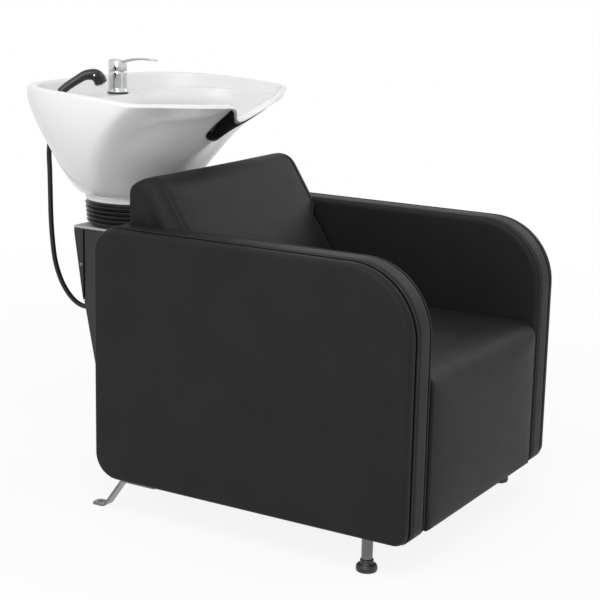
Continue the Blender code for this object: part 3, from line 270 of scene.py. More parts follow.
# %% Finishes of this unit
VINYL = finish(
    "black_vinyl", grey(0.0112), grey(0.0150), 0.52, 0.05, 9.0, 750.0, 0.00012, "Voronoi",
    Specular_IOR_Level=0.14,
)
WELT = finish(
    "welt_vinyl", grey(0.010), grey(0.014), 0.46, 0.05, 30.0, 900.0, 0.00010, "Voronoi",
    Specular_IOR_Level=0.22,
)
GLAZE = finish(
    "white_glaze", grey(0.76, 0.004), grey(0.80, 0.004), 0.20, 0.05, 5.0, 28.0, 0.00008,
    Specular_IOR_Level=0.40,
)
CHROME = finish(
    "chrome", grey(0.56, 0.01), grey(0.66, 0.01), 0.10, 0.04, 40.0, 260.0, 0.00001, Metallic=1.0,
)
SATIN = finish(
    "satin_chrome", grey(0.13, 0.01), grey(0.17, 0.01), 0.20, 0.06, 40.0, 300.0, 0.00001, Metallic=1.0,
)
ZINC = finish(
    "bright_zinc", grey(0.15, 0.01), grey(0.21, 0.01), 0.24, 0.06, 40.0, 300.0, 0.00001, Metallic=1.0,
)
STEEL = finish("frame_steel", grey(0.06), grey(0.09), 0.48, 0.08, 14.0, 420.0, 0.00006, Metallic=0.5)
POWDER = finish(
    "column_powder_coat", grey(0.034), grey(0.046), 0.50, 0.06, 12.0, 950.0, 0.00006,
    Specular_IOR_Level=0.18,
)
PLATE = finish(
    "top_plate_coat", grey(0.44), grey(0.50), 0.60, 0.06, 14.0, 800.0, 0.00005, Specular_IOR_Level=0.15,
)
GLOSSY = finish("black_gloss_plastic", grey(0.008), grey(0.012), 0.18, 0.06, 30.0, 500.0, 0.00002)
MOULDED = finish("black_moulded_plastic", grey(0.010), grey(0.016), 0.40, 0.08, 40.0, 900.0, 0.00005)
RUBBER = finish(
    "black_rubber", grey(0.005), grey(0.008), 0.38, 0.08, 26.0, 700.0, 0.00005, Specular_IOR_Level=0.35,
)
# Near-black and almost unreflecting: painted shade for the gaps between the column's covers.
GAP_SHADE = finish(
    "painted_gap_shade", grey(0.0015), grey(0.0025), 0.60, 0.06, 26.0, 700.0, 0.00003, Specular_IOR_Level=0.05,
)
GEL = finish("black_gel", grey(0.006), grey(0.010), 0.24, 0.06, 30.0, 300.0, 0.00010)
PLYWOOD = finish("plywood", (0.40, 0.26, 0.14, 1), (0.55, 0.38, 0.22, 1), 0.62, 0.08, 12.0, 300.0, 0.0002)
NYLON = finish("white_nylon", grey(0.62), grey(0.70), 0.42, 0.06, 30.0, 500.0, 0.00003)
print("finishes", len(bpy.data.materials))

# %% [markdown]
# ## The shower hose
# The hose leaves the handset's dock under the deck, comes out of the basin's rear opening, hangs
# down behind the column and goes back into the column through a rubber grommet. Its route repeats
# the solid's own points, and a round section is carried along it.


# %% Lines and tubes
def through(points, spacing):
    """A smooth line on cubics through the points, then evenly spaced."""
    line = in_between(np.asarray(points, float), 24)
    run = run_along(line)
    even = np.linspace(0, run[-1], max(3, round(run[-1] / spacing) + 1))
    return sample(line, run, even)


def tube(name, line, radius, finish, sides=16, lean=(1.0, 0.0, 0.0), closed=False):
    """A round section carried along a line: line + radius (side cos u + up sin u)."""
    line = np.asarray(line, float)
    if closed:
        along = unit(np.roll(line, -1, 0) - np.roll(line, 1, 0))
    else:
        along = unit(np.gradient(line, axis=0))
    lean = np.broadcast_to(np.asarray(lean, float), line.shape)
    side = unit(lean - (lean * along).sum(-1, keepdims=True) * along)
    up = np.cross(along, side)
    turn = np.linspace(0, 2 * np.pi, sides, endpoint=False)[None, :, None]
    section = side[:, None] * np.cos(turn) + up[:, None] * np.sin(turn)
    reach = np.broadcast_to(np.asarray(radius, float), len(line))[:, None, None]
    return skin(name, line[:, None] + reach * section, finish, wrap_rows=closed)


HOSE_R = 0.006
DOCK = np.array([-0.172, 0.468, 0.8933])
MOUTH = np.array([-0.081, 0.454435, 0.381])
OUTWARD = np.array([0.0, 0.97871, -0.20521])
HOSE_TOP = DOCK + [0, 0, -0.0583]
HOSE_ROUTE = [
    HOSE_TOP, HOSE_TOP + [0, 0, -0.013],
    (-0.170, 0.475, 0.809), (-0.162, 0.495, 0.797), (-0.150, 0.518, 0.784), (-0.140, 0.531, 0.755),
    (-0.135, 0.534, 0.710), (-0.133, 0.535, 0.660), (-0.132, 0.535, 0.600), (-0.129, 0.534, 0.545),
    (-0.124, 0.530, 0.490), (-0.115, 0.520, 0.443), (-0.103, 0.505, 0.407), (-0.091, 0.487, 0.385),
    MOUTH + 0.014 * OUTWARD, MOUTH - 0.008 * OUTWARD,
]

# %% Make the hose
hose_line = through(HOSE_ROUTE, 0.006)
hose = tube("shower_hose_fine", hose_line, HOSE_R, RUBBER, 20)
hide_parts("shower_hose")
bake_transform(hose)

# %% [markdown]
# ## The arms
# Each arm is a board panel covered in vinyl. A band runs round its edge between two piped seams,
# and the outer face bulges a little. A bevelled box would look hard, so the arm is an outline carried
# through a profile: the outline keeps its shape while the profile draws it in towards the faces.


# %% Rounded outline
def rounded_outline(low, high, radii, spacing):
    """Even points and outward normals round a rectangle with its own radius at each corner.

    The corners run (low, low), (high, low), (high, high), (low, high); each is an arc, and the
    straight sides lie between the arcs' ends.
    """
    signs = np.array([(-1, -1), (1, -1), (1, 1), (-1, 1)], float)
    corners = np.where(signs > 0, high, low)
    centres = corners - signs * np.asarray(radii)[:, None]
    start = np.array([180, 270, 0, 90])[:, None] + np.linspace(0, 90, 25)[None]
    turn = np.radians(start)
    normals = np.stack([np.cos(turn), np.sin(turn)], -1)
    arcs = centres[:, None] + np.asarray(radii)[:, None, None] * normals
    points = np.concatenate([arcs.reshape(-1, 2), arcs[0, :1]])
    normals = np.concatenate([normals.reshape(-1, 2), normals[0, :1]])
    run = run_along(points)
    even = np.linspace(0, run[-1], round(run[-1] / spacing), endpoint=False)
    return sample(points, run, even), unit(sample(normals, run, even))


ARM_LOW = np.array([-0.5530, 0.0715])
ARM_HIGH = np.array([0.2330, 0.6440])
ARM_RADII = (0.032, 0.062, 0.055, 0.150)
ARM_INNER = 0.264
ARM_THICK = 0.096
WELT_R = 0.0022
WELT_GAP = 0.0016
WELT_SUNK = 1.06 * WELT_R
INNER_SEAM = 0.0115
OUTER_SEAM = 0.0680
OUTER_GAP = 0.0050

# %% Arm profile and skin
FACE_SHARES = np.linspace(0.04, 1.0, 13)
QUARTER = np.linspace(0, 1, 7) * np.pi / 2
EDGE_NEAR, EDGE_FAR, GROOVE, CROWN_EDGE = 0.0026, 0.0130, 0.0140, 0.0180
BAND_CROWN = 0.0026


def arm_profile():
    """Columns: place across the arm, inset from the outline, share of the face from its middle.

    From the inner face's middle: the flat face, its rounded edge, the inner groove, the crowned band,
    the outer groove, the rounded edge of the outer face and its crown to the middle.
    """
    clear = WELT_R + WELT_GAP
    inner_skirt, outer_skirt = INNER_SEAM - clear, OUTER_SEAM + clear + OUTER_GAP
    inner = np.stack([np.zeros(13), np.full(13, EDGE_FAR), FACE_SHARES], -1)
    edge_in = EDGE_FAR - (EDGE_FAR - EDGE_NEAR) * np.sin(QUARTER)
    round_in = np.stack([inner_skirt * (1 - np.cos(QUARTER)), edge_in, np.ones(7)], -1)
    across = np.linspace(0, 1, 11)
    start, stop = INNER_SEAM + clear, OUTER_SEAM - clear
    crowned = BAND_CROWN * (2 * across - 1) ** 8
    band = np.stack([start + (stop - start) * across, crowned, np.ones(11)], -1)
    channels = [
        np.stack([seam + np.array([-0.95 * clear, 0.95 * clear + gap]), np.full(2, GROOVE), np.ones(2)], -1)
        for seam, gap in ((INNER_SEAM, 0.0), (OUTER_SEAM, OUTER_GAP))
    ]
    edge_out = EDGE_NEAR + (EDGE_FAR - EDGE_NEAR) * (1 - np.cos(QUARTER))
    round_out = np.stack([outer_skirt + CROWN_EDGE * np.sin(QUARTER), edge_out, np.ones(7)], -1)
    shares = FACE_SHARES[::-1]
    crown = (ARM_THICK - outer_skirt - CROWN_EDGE) * (1 - shares ** 2)
    outer = np.stack([outer_skirt + CROWN_EDGE + crown, np.full(13, EDGE_FAR), shares], -1)
    return np.concatenate([inner, round_in[1:], channels[0], band, channels[1], round_out, outer[1:]])


def arm(word, side):
    """The arm's skin: x from the profile; from the side, outline - inset * normal, drawn to the middle."""
    at, out = rounded_outline(ARM_LOW, ARM_HIGH, ARM_RADII, 0.006)
    place, inset, share = (values[:, None, None] for values in arm_profile().T)
    ring = at[None] - inset * out[None]
    middle = ((ARM_LOW + ARM_HIGH) / 2)[None, None]
    flat = middle + share * (ring - middle)
    across = np.broadcast_to(side * (ARM_INNER + place), flat.shape[:2] + (1,))
    piece = skin(f"{word}_arm_cover", np.concatenate([across, flat], -1), VINYL, sharp=60.0)
    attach(piece, "chair")
    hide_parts(f"{word}_arm_panel")
    for seam, name in ((INNER_SEAM, "inner"), (OUTER_SEAM, "outer")):
        seam_x = np.full((len(at), 1), side * (ARM_INNER + seam))
        line = np.concatenate([seam_x, at - WELT_SUNK * out], -1)
        welt = tube(f"{word}_arm_{name}_welt", line, WELT_R, WELT, 12, closed=True)
        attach(welt, "chair")
    return piece


arms = [arm(word, side) for word, side in SIDES]
print("arm faces", len(arms[0].data.polygons))

# %% [markdown]
# ## Filling a cushion
# Foam pushes a sewn cover outwards, but its seams and the sides that rest on boards stay put. A cloth
# simulation with inner pressure does just that: the held points are pinned, the rest swells for
# twenty frames, and no point may move further than a cap.


# %% Cloth filling
FILL_FRAMES, FILL_PRESSURE = 20, 4.0


def fill_out(piece, held, cap):
    """Swell a closed cover by cloth pressure and give the longest move.

    held is one flag per point. A move of length m becomes m cap / (cap + m), so it stays under cap.
    """
    count = len(piece.data.vertices)
    rest = np.empty(count * 3)
    piece.data.vertices.foreach_get("co", rest)
    rest = rest.reshape(-1, 3)
    pins = piece.vertex_groups.new(name="held")
    pins.add(np.flatnonzero(held).tolist(), 1.0, "REPLACE")
    cloth = piece.modifiers.new("filling", "CLOTH")
    cloth.settings.quality = 5
    cloth.settings.mass = 0.3
    cloth.settings.use_pressure = True
    cloth.settings.uniform_pressure_force = FILL_PRESSURE
    cloth.settings.effector_weights.gravity = 0.0
    cloth.settings.vertex_group_mass = "held"
    cloth.collision_settings.use_collision = False
    cloth.point_cache.frame_start = 1
    cloth.point_cache.frame_end = FILL_FRAMES
    for step in range(1, FILL_FRAMES + 1):
        SCENE.frame_set(step)
    seen = piece.evaluated_get(bpy.context.evaluated_depsgraph_get())
    moved = np.empty(count * 3)
    seen.data.vertices.foreach_get("co", moved)
    shift = moved.reshape(-1, 3) - rest
    length = np.linalg.norm(shift, axis=1, keepdims=True)
    shift *= cap / (cap + length)
    piece.modifiers.remove(cloth)
    piece.vertex_groups.clear()
    piece.data.vertices.foreach_set("co", (rest + shift).ravel())
    piece.data.update()
    SCENE.frame_set(1)
    return float(np.linalg.norm(shift, axis=1).max())


def fillet(corners, steps=8):
    """A closed outline through (u, v, radius) corners, each corner an arc that touches both its sides."""
    spots = np.array([c[:2] for c in corners], float)
    found = []
    for here, before, after, radius in zip(
        spots, np.roll(spots, 1, 0), np.roll(spots, -1, 0), [c[2] for c in corners]
    ):
        into, away = unit(before - here), unit(after - here)
        if radius <= 0:
            found.append(here[None])
            continue
        half = np.arccos(np.clip(into @ away, -1, 1)) / 2
        middle = here + unit(into + away) * radius / np.sin(half)
        first, last = (here + v * radius / np.tan(half) - middle for v in (into, away))
        share = np.linspace(0, 1, steps + 1)[:, None]
        sweep = np.pi - 2 * half
        arc = (np.sin((1 - share) * sweep) * first + np.sin(share * sweep) * last) / np.sin(sweep)
        found.append(middle + arc)
    return np.concatenate(found)


def even_loop(points, spacing):
    """The same closed outline with evenly spaced points."""
    loop = np.concatenate([points, points[:1]])
    run = run_along(loop)
    even = np.linspace(0, run[-1], round(run[-1] / spacing), endpoint=False)
    return sample(loop, run, even)


def outward(loop):
    """Unit normals of a closed outline: the step from neighbour to neighbour, turned a quarter."""
    run = np.roll(loop, -1, 0) - np.roll(loop, 1, 0)
    return unit(np.stack([run[:, 1], -run[:, 0]], -1))


# %% [markdown]
# ## The seat
# The seat and its front apron are one cover over a rounded nose. Its side outline is carried across
# the chair. Near the two ends the outline is drawn in, which gives the soft edge beside the arms.

# %% Seat cover
SIDE_ROUND = 0.007
SEAT_HALF = 0.2610
SEAT_FRONT, SEAT_TOP, SEAT_REAR, SEAT_UNDER = -0.5545, 0.420, 0.1815, 0.3003
APRON_LOW, APRON_BACK = 0.0815, -0.486


def across_stations(half, edge, count):
    """Places across a cushion and their draw-in: a rounded edge at each side, even steps between.

    On the edge the place is half - edge (1 - sin t) and the draw-in is edge (1 - cos t).
    """
    t = np.linspace(0, np.pi / 2, 7)
    ends = half - edge + edge * np.sin(t[::-1])
    draw = edge * (1 - np.cos(t[::-1]))
    middle = np.linspace(half - edge, edge - half, count)[1:-1]
    place = np.concatenate([ends, middle, -ends[::-1]])
    return place, np.concatenate([draw, np.zeros(count - 2), draw[::-1]])


def seat():
    """The side outline carried across; the draw-in moves it inwards along its own normals."""
    outline = even_loop(fillet([
        (SEAT_FRONT, APRON_LOW, 0.005), (APRON_BACK, APRON_LOW, 0.006), (APRON_BACK, SEAT_UNDER, 0.0),
        (SEAT_REAR, SEAT_UNDER, 0.004), (SEAT_REAR, SEAT_TOP, 0.006), (SEAT_FRONT, SEAT_TOP, 0.037),
    ]), 0.010)
    normal = outward(outline)
    place, draw = across_stations(SEAT_HALF, SIDE_ROUND, 51)
    flat = outline[None] - draw[:, None, None] * normal[None]
    across = np.broadcast_to(place[:, None, None], flat.shape[:2] + (1,))
    grid = np.concatenate([across, flat], -1)
    piece = skin("seat_cover", grid, VINYL, sharp=70.0)
    y, z = grid[..., 1].ravel(), grid[..., 2].ravel()
    hidden = (z < SEAT_UNDER + 0.002) & (y > APRON_BACK - 0.003) | (y > -0.10) | (z < APRON_LOW + 0.008)
    ends = np.abs(grid[..., 0].ravel()) > SEAT_HALF - 0.004
    moved = fill_out(piece, np.append(hidden | ends, [True, True]), 0.012)
    print("seat swells", round(moved * 1000, 1), "mm")
    return piece


seat_piece = seat()
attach(seat_piece, "chair")
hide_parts("seat_cushion")

# %% [markdown]
# ## The back
# The back is a leaning wedge. One strip of vinyl runs up its front and over its top, and an end
# panel with a rounded edge closes each side at a sewn seam, which shows as a narrow groove.

# %% Back cover
BACK_BASE, BACK_TOP, BACK_REAR, BACK_FOOT = 0.4208, 0.7450, 0.1815, 0.275
BACK_ROUND, BACK_SEAM_DEEP, BACK_NARROW = 0.034, 0.0045, 0.112
BACK_HALF, BACK_SEAM_WIDE = 0.2935, 0.0022
NARROW_BELOW, NARROW_RUN = 0.635, 0.030
REAR_RUN, REAR_SHARE = 0.050, 0.15


def back_outline(spacing):
    """Side outline of the wedge: upright rear, round top, straight lean down to the toe."""
    lean = (BACK_REAR - BACK_FOOT, BACK_BASE, 0.012)
    crest = (BACK_REAR - 0.066, BACK_TOP, 0.046)
    rear_low, rear_high = (BACK_REAR, BACK_BASE, 0.004), (BACK_REAR, BACK_TOP, 0.036)
    return even_loop(fillet([lean, rear_low, rear_high, crest]), spacing)


def back():
    """The wedge's outline carried across, rounded over to flat ends on its front and top.

    The draw-in is the end's quarter round, less at the rear, plus a narrow bell-shaped seam groove
    where the rounding starts. Between the arms the whole piece is narrower.
    """
    outline = back_outline(0.008)
    normal = outward(outline)
    seam_at = BACK_HALF - BACK_ROUND
    beside = seam_at + np.array([-0.005, -0.0025, -0.001, 0.001, 0.0025, 0.005])
    rounded = seam_at + BACK_ROUND * np.sin(np.linspace(0, np.pi / 2, 9))
    half_row = np.sort(np.concatenate([np.linspace(0, seam_at - 0.010, 26), beside, rounded]))
    place = np.concatenate([half_row[::-1], -half_row[1:]])
    into = np.clip((np.abs(place) - seam_at) / BACK_ROUND, 0, 1)
    draw = BACK_ROUND * (1 - np.sqrt(1 - into ** 2))
    groove = BACK_SEAM_DEEP * np.exp(-((np.abs(place) - seam_at) / BACK_SEAM_WIDE) ** 2)
    forward = np.clip((BACK_REAR - outline[:, 0]) / REAR_RUN, REAR_SHARE, 1)
    inward = draw[:, None] * forward[None] + groove[:, None]
    flat = outline[None] - inward[..., None] * normal[None]
    below = np.clip((NARROW_BELOW - flat[..., 1]) / NARROW_RUN, 0, 1)
    across = place[:, None] * (1 - BACK_NARROW * below * below * (3 - 2 * below))
    grid = np.concatenate([across[..., None], flat], -1)
    piece = skin("back_cover", grid, VINYL, sharp=70.0)
    y, z = grid[..., 1].ravel(), grid[..., 2].ravel()
    hidden = (z < BACK_BASE + 0.012) | (y > BACK_REAR - 0.004)
    ends = np.abs(grid[..., 0].ravel()) > seam_at - 0.006
    moved = fill_out(piece, np.append(hidden | ends, [True, True]), 0.010)
    print("back swells", round(moved * 1000, 1), "mm")
    return piece


back_piece = back()
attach(back_piece, "chair")
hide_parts("back_cushion")

# %% [markdown]
# ## The rear panel
# Behind the back cushion an upholstered board closes the chair between the arms. It gets the same
# treatment as an arm: a rounded outline, drawn in to a flat front and a slightly bulging rear.

# %% Rear panel cover
def rear_panel():
    """Outline in the rear view, carried through a profile of (y, inset, share of the face)."""
    low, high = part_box("rear_panel")
    at, out = rounded_outline(
        np.array([low[0], low[2]]), np.array([high[0], high[2]]), (0.010, 0.010, 0.016, 0.016), 0.008
    )
    turn = np.linspace(0, np.pi, 13)
    deep = high[1] - low[1]
    edge = deep / 2
    front = np.stack([np.zeros(13), np.full(13, edge * 0.5), FACE_SHARES], -1)
    side = np.stack([edge * (1 - np.cos(turn)), edge * 0.5 * (1 - np.sin(turn) ** 0.5), np.ones(13)], -1)
    shares = FACE_SHARES[::-1]
    rear = np.stack([deep + 0.004 * (1 - shares ** 4), np.full(13, edge * 0.5), shares], -1)
    place, inset, share = (c[:, None, None] for c in np.concatenate([front, side[1:-1], rear]).T)
    middle = np.array([(low[0] + high[0]) / 2, (low[2] + high[2]) / 2])
    flat = middle + share * (at[None] - inset * out[None] - middle)
    deepness = np.broadcast_to(low[1] + place, flat.shape[:2] + (1,))
    grid = np.concatenate([flat[..., :1], deepness, flat[..., 1:]], -1)
    return skin("rear_panel_cover", grid, VINYL, sharp=60.0)


rear_piece = rear_panel()
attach(rear_piece, "chair")
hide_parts("rear_panel")
print("rear panel faces", len(rear_piece.data.polygons))

# %% [markdown]
# ## The basin
# The basin is one glazed casting: a bowl, a flat deck for the mixer and the handset, a rolled lip that
# dips at the neck, and a wall that narrows down to a round collar. Every level of it is an outline made
# of two half superellipses, so one function of level and angle gives the whole wall.

# %% Basin surfaces
COLLAR_Y, COLLAR_R, COLLAR_TOP = 0.383, 0.118, 0.659
RIM_FRONT, RIM_REAR, RIM_MIDDLE, RIM_HALF, RIM_Z = 0.028, 0.545, 0.193, 0.320, 0.902
LIP_WIDTH, LIP_ROUND, BOWL_WALL, BOWL_REAR = 0.020, 0.007, 0.016, 0.400
NOTCH_HALF, NOTCH_DEPTH, NOTCH_BACK, NOTCH_START = 0.095, 0.037, 0.055, 0.25
DECK_Z, DRAIN_Y, DRAIN_R = 0.889, 0.345, 0.0266
DRAIN_Z, BOWL_FLOOR_Z, BOWL_UNDER_Z, BOWL_FLOOR_R = 0.678, 0.680, 0.662, 0.062
EDGE_IN, DECK_IN = 0.033, 0.026
SIDE_POWER, SIDE_EASE = 2.2, 0.15


def rim_height(y):
    """The rim's top: a slope rising to the rear plus a parabola that arches it along the sides."""
    share = (y - RIM_FRONT) / (RIM_REAR - RIM_FRONT)
    return RIM_Z + 0.059 * (y - RIM_MIDDLE) + 0.036 * share * (1 - share)


def ledge_height(y):
    """The ledge inside the lip: 12 mm below the rim, or the deck where that is lower."""
    return np.minimum(rim_height(y) - 0.012, DECK_Z)


def rising(level, curve, flat):
    """0 at the collar, 1 at the rim: with r = level^curve it is (flat r - r^flat)/(flat - 1)."""
    r = level ** curve
    return (flat * r - r ** flat) / (flat - 1)


def wall_sizes(level):
    """Half width, front, widest place, rear and the two powers of the wall at a level."""
    behind = rising(level, 1.66, 5.3)
    half = COLLAR_R + (RIM_HALF - COLLAR_R) * rising(level, 0.585, 5.24)
    front = COLLAR_Y - COLLAR_R + (RIM_FRONT - COLLAR_Y + COLLAR_R) * level ** 1.67
    widest = COLLAR_Y + (RIM_MIDDLE - COLLAR_Y) * level ** 1.38
    rear = COLLAR_Y + COLLAR_R + (RIM_REAR - COLLAR_Y - COLLAR_R) * behind
    front_power = 2 - 0.5 * level - 0.1 * level ** 8 - 0.5 * np.sin(np.pi * level ** 2.8)
    return half, front, widest, rear, front_power, 2 + 1.7 * behind


def outline(turn, sizes, height, depth=0.0, back=0.0):
    """Points at given angles about the widest place: spoke = (|cos/half|^p + |sin/reach|^p)^(-1/p).

    The front's power p eases to a rounder one beside the widest place, which softens the corner there.
    In the middle of the front, cos^2 lowers the points by depth and moves them rearwards by back.
    """
    half, front, widest, rear, front_power, rear_power = sizes
    across, along = np.cos(turn), np.sin(turn)
    reach = np.where(along >= 0, rear - widest, widest - front)
    eased = front_power + (SIDE_POWER - front_power) * np.exp(-(along / SIDE_EASE) ** 2)
    power = np.where(along >= 0, rear_power, eased)
    spoke = (np.abs(across / half) ** power + np.abs(along / reach) ** power) ** (-1 / power)
    x, y = spoke * across, widest + spoke * along
    near = (along < 0) & (np.abs(x) < NOTCH_HALF)
    share = np.where(near, np.cos(np.pi / 2 * np.clip(x / NOTCH_HALF, -1, 1)) ** 2, 0.0)
    z = height(y)
    return np.stack([x, y + back * share, z - depth * share], -1)


def notch(level):
    """How far the notch lowers and sets back the wall: a share of the level, and its square."""
    share = np.maximum(0, (level - NOTCH_START) / (1 - NOTCH_START))
    return NOTCH_DEPTH * share, NOTCH_BACK * share ** 2


def outer_wall(turn, level):
    """The wall's outline at each level, at heights shared out from the collar's top to the lip."""
    depth, back = notch(level)

    def height(y):
        return COLLAR_TOP + (rim_height(y) - LIP_ROUND - COLLAR_TOP) * level

    return outline(turn, wall_sizes(level), height, depth, back)


def inner_wall(turn, level):
    """The bowl: the outer wall's outline shrunk by the wall's thickness, with the deck behind it."""
    half, front, widest, _, front_power, _ = wall_sizes(level)
    reach = widest - front
    shrink = 1 - BOWL_WALL * np.hypot(half, reach) / (half * reach)
    sizes = (half * shrink, widest - reach * shrink, widest, BOWL_REAR, front_power, 3.0)
    depth, back = notch(level)
    return outline(turn, sizes, lambda y: COLLAR_TOP + (ledge_height(y) - COLLAR_TOP) * level, depth, back)


def rim_ring(turn, inward, rear_inward, height):
    """The rim's outline moved inwards, at a height that follows the rim."""
    half, front, widest, rear, front_power, rear_power = wall_sizes(np.ones_like(inward))
    sizes = (half - inward, front + inward, widest, rear - rear_inward, front_power, rear_power)
    return outline(turn, sizes, height, NOTCH_DEPTH, NOTCH_BACK)


def lip(turn, roll):
    """The lip's half round: roll 0 is its inner edge, pi/2 its top and pi its outer edge."""
    inward = LIP_WIDTH / 2 * (1 + np.cos(roll))
    down = LIP_ROUND * (1 - np.sin(roll))
    return rim_ring(turn, inward, inward, lambda y: rim_height(y) - down)


def circle(turn, radius, y, z):
    """A level circle about a point on the unit's middle plane."""
    return np.stack([radius * np.cos(turn), y + radius * np.sin(turn), np.broadcast_to(z, turn.shape)], -1)


# %% Basin skin
def column(values):
    """Numbers as one column, so that they spread over a row of angles."""
    return np.asarray(values, float)[:, None]


def basin_grid(points):
    """All rings from the drain up the bowl, over the lip and down the wall to the collar."""
    turn = np.linspace(0, 2 * np.pi, points, endpoint=False)[None]
    one = column([1.0])
    floor_sizes = (BOWL_FLOOR_R, DRAIN_Y - BOWL_FLOOR_R, DRAIN_Y, BOWL_REAR - 0.012, 2.0, 2.4)
    drain = circle(turn, DRAIN_R, DRAIN_Y, DRAIN_Z)
    floor = outline(turn, floor_sizes, lambda y: BOWL_FLOOR_Z + 0 * y)
    bowl = inner_wall(turn, column([0.14, 0.24, 0.40, 0.58, 0.76, 0.90]))
    edge = rim_ring(turn, one * EDGE_IN, one * (RIM_REAR - BOWL_REAR - 0.005), ledge_height)
    deck = rim_ring(turn, one * DECK_IN, one * DECK_IN, ledge_height)
    inside = in_between(np.concatenate([floor, bowl, edge]), 6)
    rim = lip(turn, column(np.linspace(0, np.pi, 13)))
    wall = outer_wall(turn, column(np.linspace(0.985, 0.03, 46)))
    foot = np.concatenate([
        circle(turn, r, COLLAR_Y, z) for r, z in (
            (0.1180, 0.6565), (0.1176, 0.6545), (0.1190, 0.6530), (0.1196, 0.6510), (0.1196, 0.6475),
            (0.1186, 0.6455), (0.1170, 0.6450), (0.1030, 0.6450), (0.1030, 0.6620),
        )
    ])
    under = circle(turn, DRAIN_R, DRAIN_Y, BOWL_UNDER_Z)
    return np.concatenate([drain, inside, deck, rim, wall, foot, under])


def block(name, low, high):
    """A closed box as a grid: a square ring at the bottom and one at the top."""
    x, y = np.array([low[0], high[0], high[0], low[0]]), np.array([low[1], low[1], high[1], high[1]])
    rings = [np.stack([x, y, np.full(4, z)], -1) for z in (low[2], high[2])]
    return skin(name, np.stack(rings), GLAZE, sharp=30.0)


def pin(name, x, y, radius, low, high, sides=48):
    """A closed upright cylinder as a grid of two rings."""
    turn = np.linspace(0, 2 * np.pi, sides, endpoint=False)
    ring_x, ring_y = x + radius * np.cos(turn), y + radius * np.sin(turn)
    rings = [np.stack([ring_x, ring_y, np.full(sides, z)], -1) for z in (low, high)]
    return skin(name, np.stack(rings), GLAZE, sharp=30.0)


def carve(piece, tools, sharp=40.0):
    """Cut closed tools out of a piece with exact Booleans, keep the result and drop the tools."""
    for tool in tools:
        step = piece.modifiers.new(tool.name, "BOOLEAN")
        step.operation = "DIFFERENCE"
        step.solver = "EXACT"
        step.object = tool
    bpy.context.view_layer.update()
    mesh = bpy.data.meshes.new_from_object(piece.evaluated_get(bpy.context.evaluated_depsgraph_get()))
    piece.modifiers.clear()
    piece.data = mesh
    for tool in tools:
        bpy.data.objects.remove(tool, do_unlink=True)
    mesh.shade_smooth()
    mesh.set_sharp_from_angle(angle=math.radians(sharp))
    return piece


basin = skin("basin_glazed", basin_grid(288), GLAZE, wrap_rows=True)
MIXER_Y = 0.435
carve(basin, [
    block("room", (-0.190, 0.413, 0.800), (0.190, 0.4845, 0.875)),
    block("window", (-0.1835, 0.415, 0.7735), (0.1835, 0.575, 0.846)),
    block("passage", (-0.055, 0.417, 0.635), (0.055, 0.468, 0.810)),
    pin("mixer_bore", 0.0, MIXER_Y, 0.0136, 0.855, 0.909),
    pin("dock_bore", DOCK[0], DOCK[1], 0.0138, 0.855, 0.909),
])
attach(basin, "basin")
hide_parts("basin")
print("basin faces", len(basin.data.polygons))

# %% [markdown]
# ## The neck rest
# A soft black pad lies on the outer wall, below the notch in the lip. It follows the glaze, so it is made
# from the basin's own surface: the same points, moved out by a small gap and by the pad's thickness.

# %% Neck rest skin
NECK_TOP, NECK_LOW, NECK_GAP, NECK_PAD = 0.985, 0.670, 0.0008, 0.0052
NECK_WIDE, NECK_SLIM = 0.084, 0.044


def neck_rest():
    """Points of the outer wall in (across, down), moved along their normals; every edge thins out.

    The half width falls from wide to slim as (1 - down)^3 and closes in a round tip at the bottom.
    """
    across = np.linspace(-1, 1, 61)[:, None]
    down = np.linspace(0, 1, 41)[None]
    half = NECK_SLIM + (NECK_WIDE - NECK_SLIM) * (1 - down) ** 3
    half = half * np.clip(1 - (np.clip(down - 0.7, 0, 1) / 0.302) ** 2.5, 0.001, 1) ** 0.5
    level = NECK_TOP + (NECK_LOW - NECK_TOP) * down + 0 * across
    fan = np.linspace(1.2 * np.pi, 1.8 * np.pi, 721)
    edge_x = outer_wall(fan[None], level[0][:, None])[..., 0]
    turn = np.stack([np.interp(across[:, 0] * h, row, fan) for h, row in zip(half[0], edge_x)], -1)
    surface = outer_wall(turn, level)
    normal = unit(np.cross(np.gradient(surface, axis=1), np.gradient(surface, axis=0)))
    centre = np.array([0.0, 0.30, 0.80])
    normal *= np.sign(((surface - centre) * normal).sum(-1).mean())
    plump = (1 - np.abs(across) ** 4) ** 0.5 * (1 - np.abs(2 * down - 1) ** 8) ** 0.5
    seat_side = surface + normal * NECK_GAP
    top_side = surface + normal * (NECK_GAP + 0.0004 + (NECK_PAD - NECK_GAP) * plump)[..., None]
    return skin("neck_rest_pad", np.concatenate([seat_side, top_side[:, ::-1]], 1), GEL, sharp=60.0)


neck = neck_rest()
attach(neck, "basin")
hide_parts("neck_rest")
print("neck rest faces", len(neck.data.polygons))

# %% [markdown]
# ## The bellows
# A rubber gaiter hides the tilt hinge. It is a turned piece: a profile of ribs carried round the
# collar's axis, wider towards the basin.

# %% Turned pieces
def turned(name, profile, centre, finish, sides=48, closed=False, sharp=40.0):
    """A profile of (radius, height) points carried round an upright axis."""
    profile = np.asarray(profile, float)
    turn = np.linspace(0, 2 * np.pi, sides, endpoint=False)
    ring = np.stack([np.cos(turn), np.sin(turn), np.zeros(sides)], -1)
    up = np.array([0.0, 0.0, 1.0])
    grid = profile[:, 0, None, None] * ring[None] + profile[:, 1, None, None] * up + np.asarray(centre, float)
    return skin(name, grid, finish, wrap_rows=closed, sharp=sharp)


BELLOWS_LOW, BELLOWS_HIGH, BELLOWS_RIBS = 0.5806, 0.6447, 5


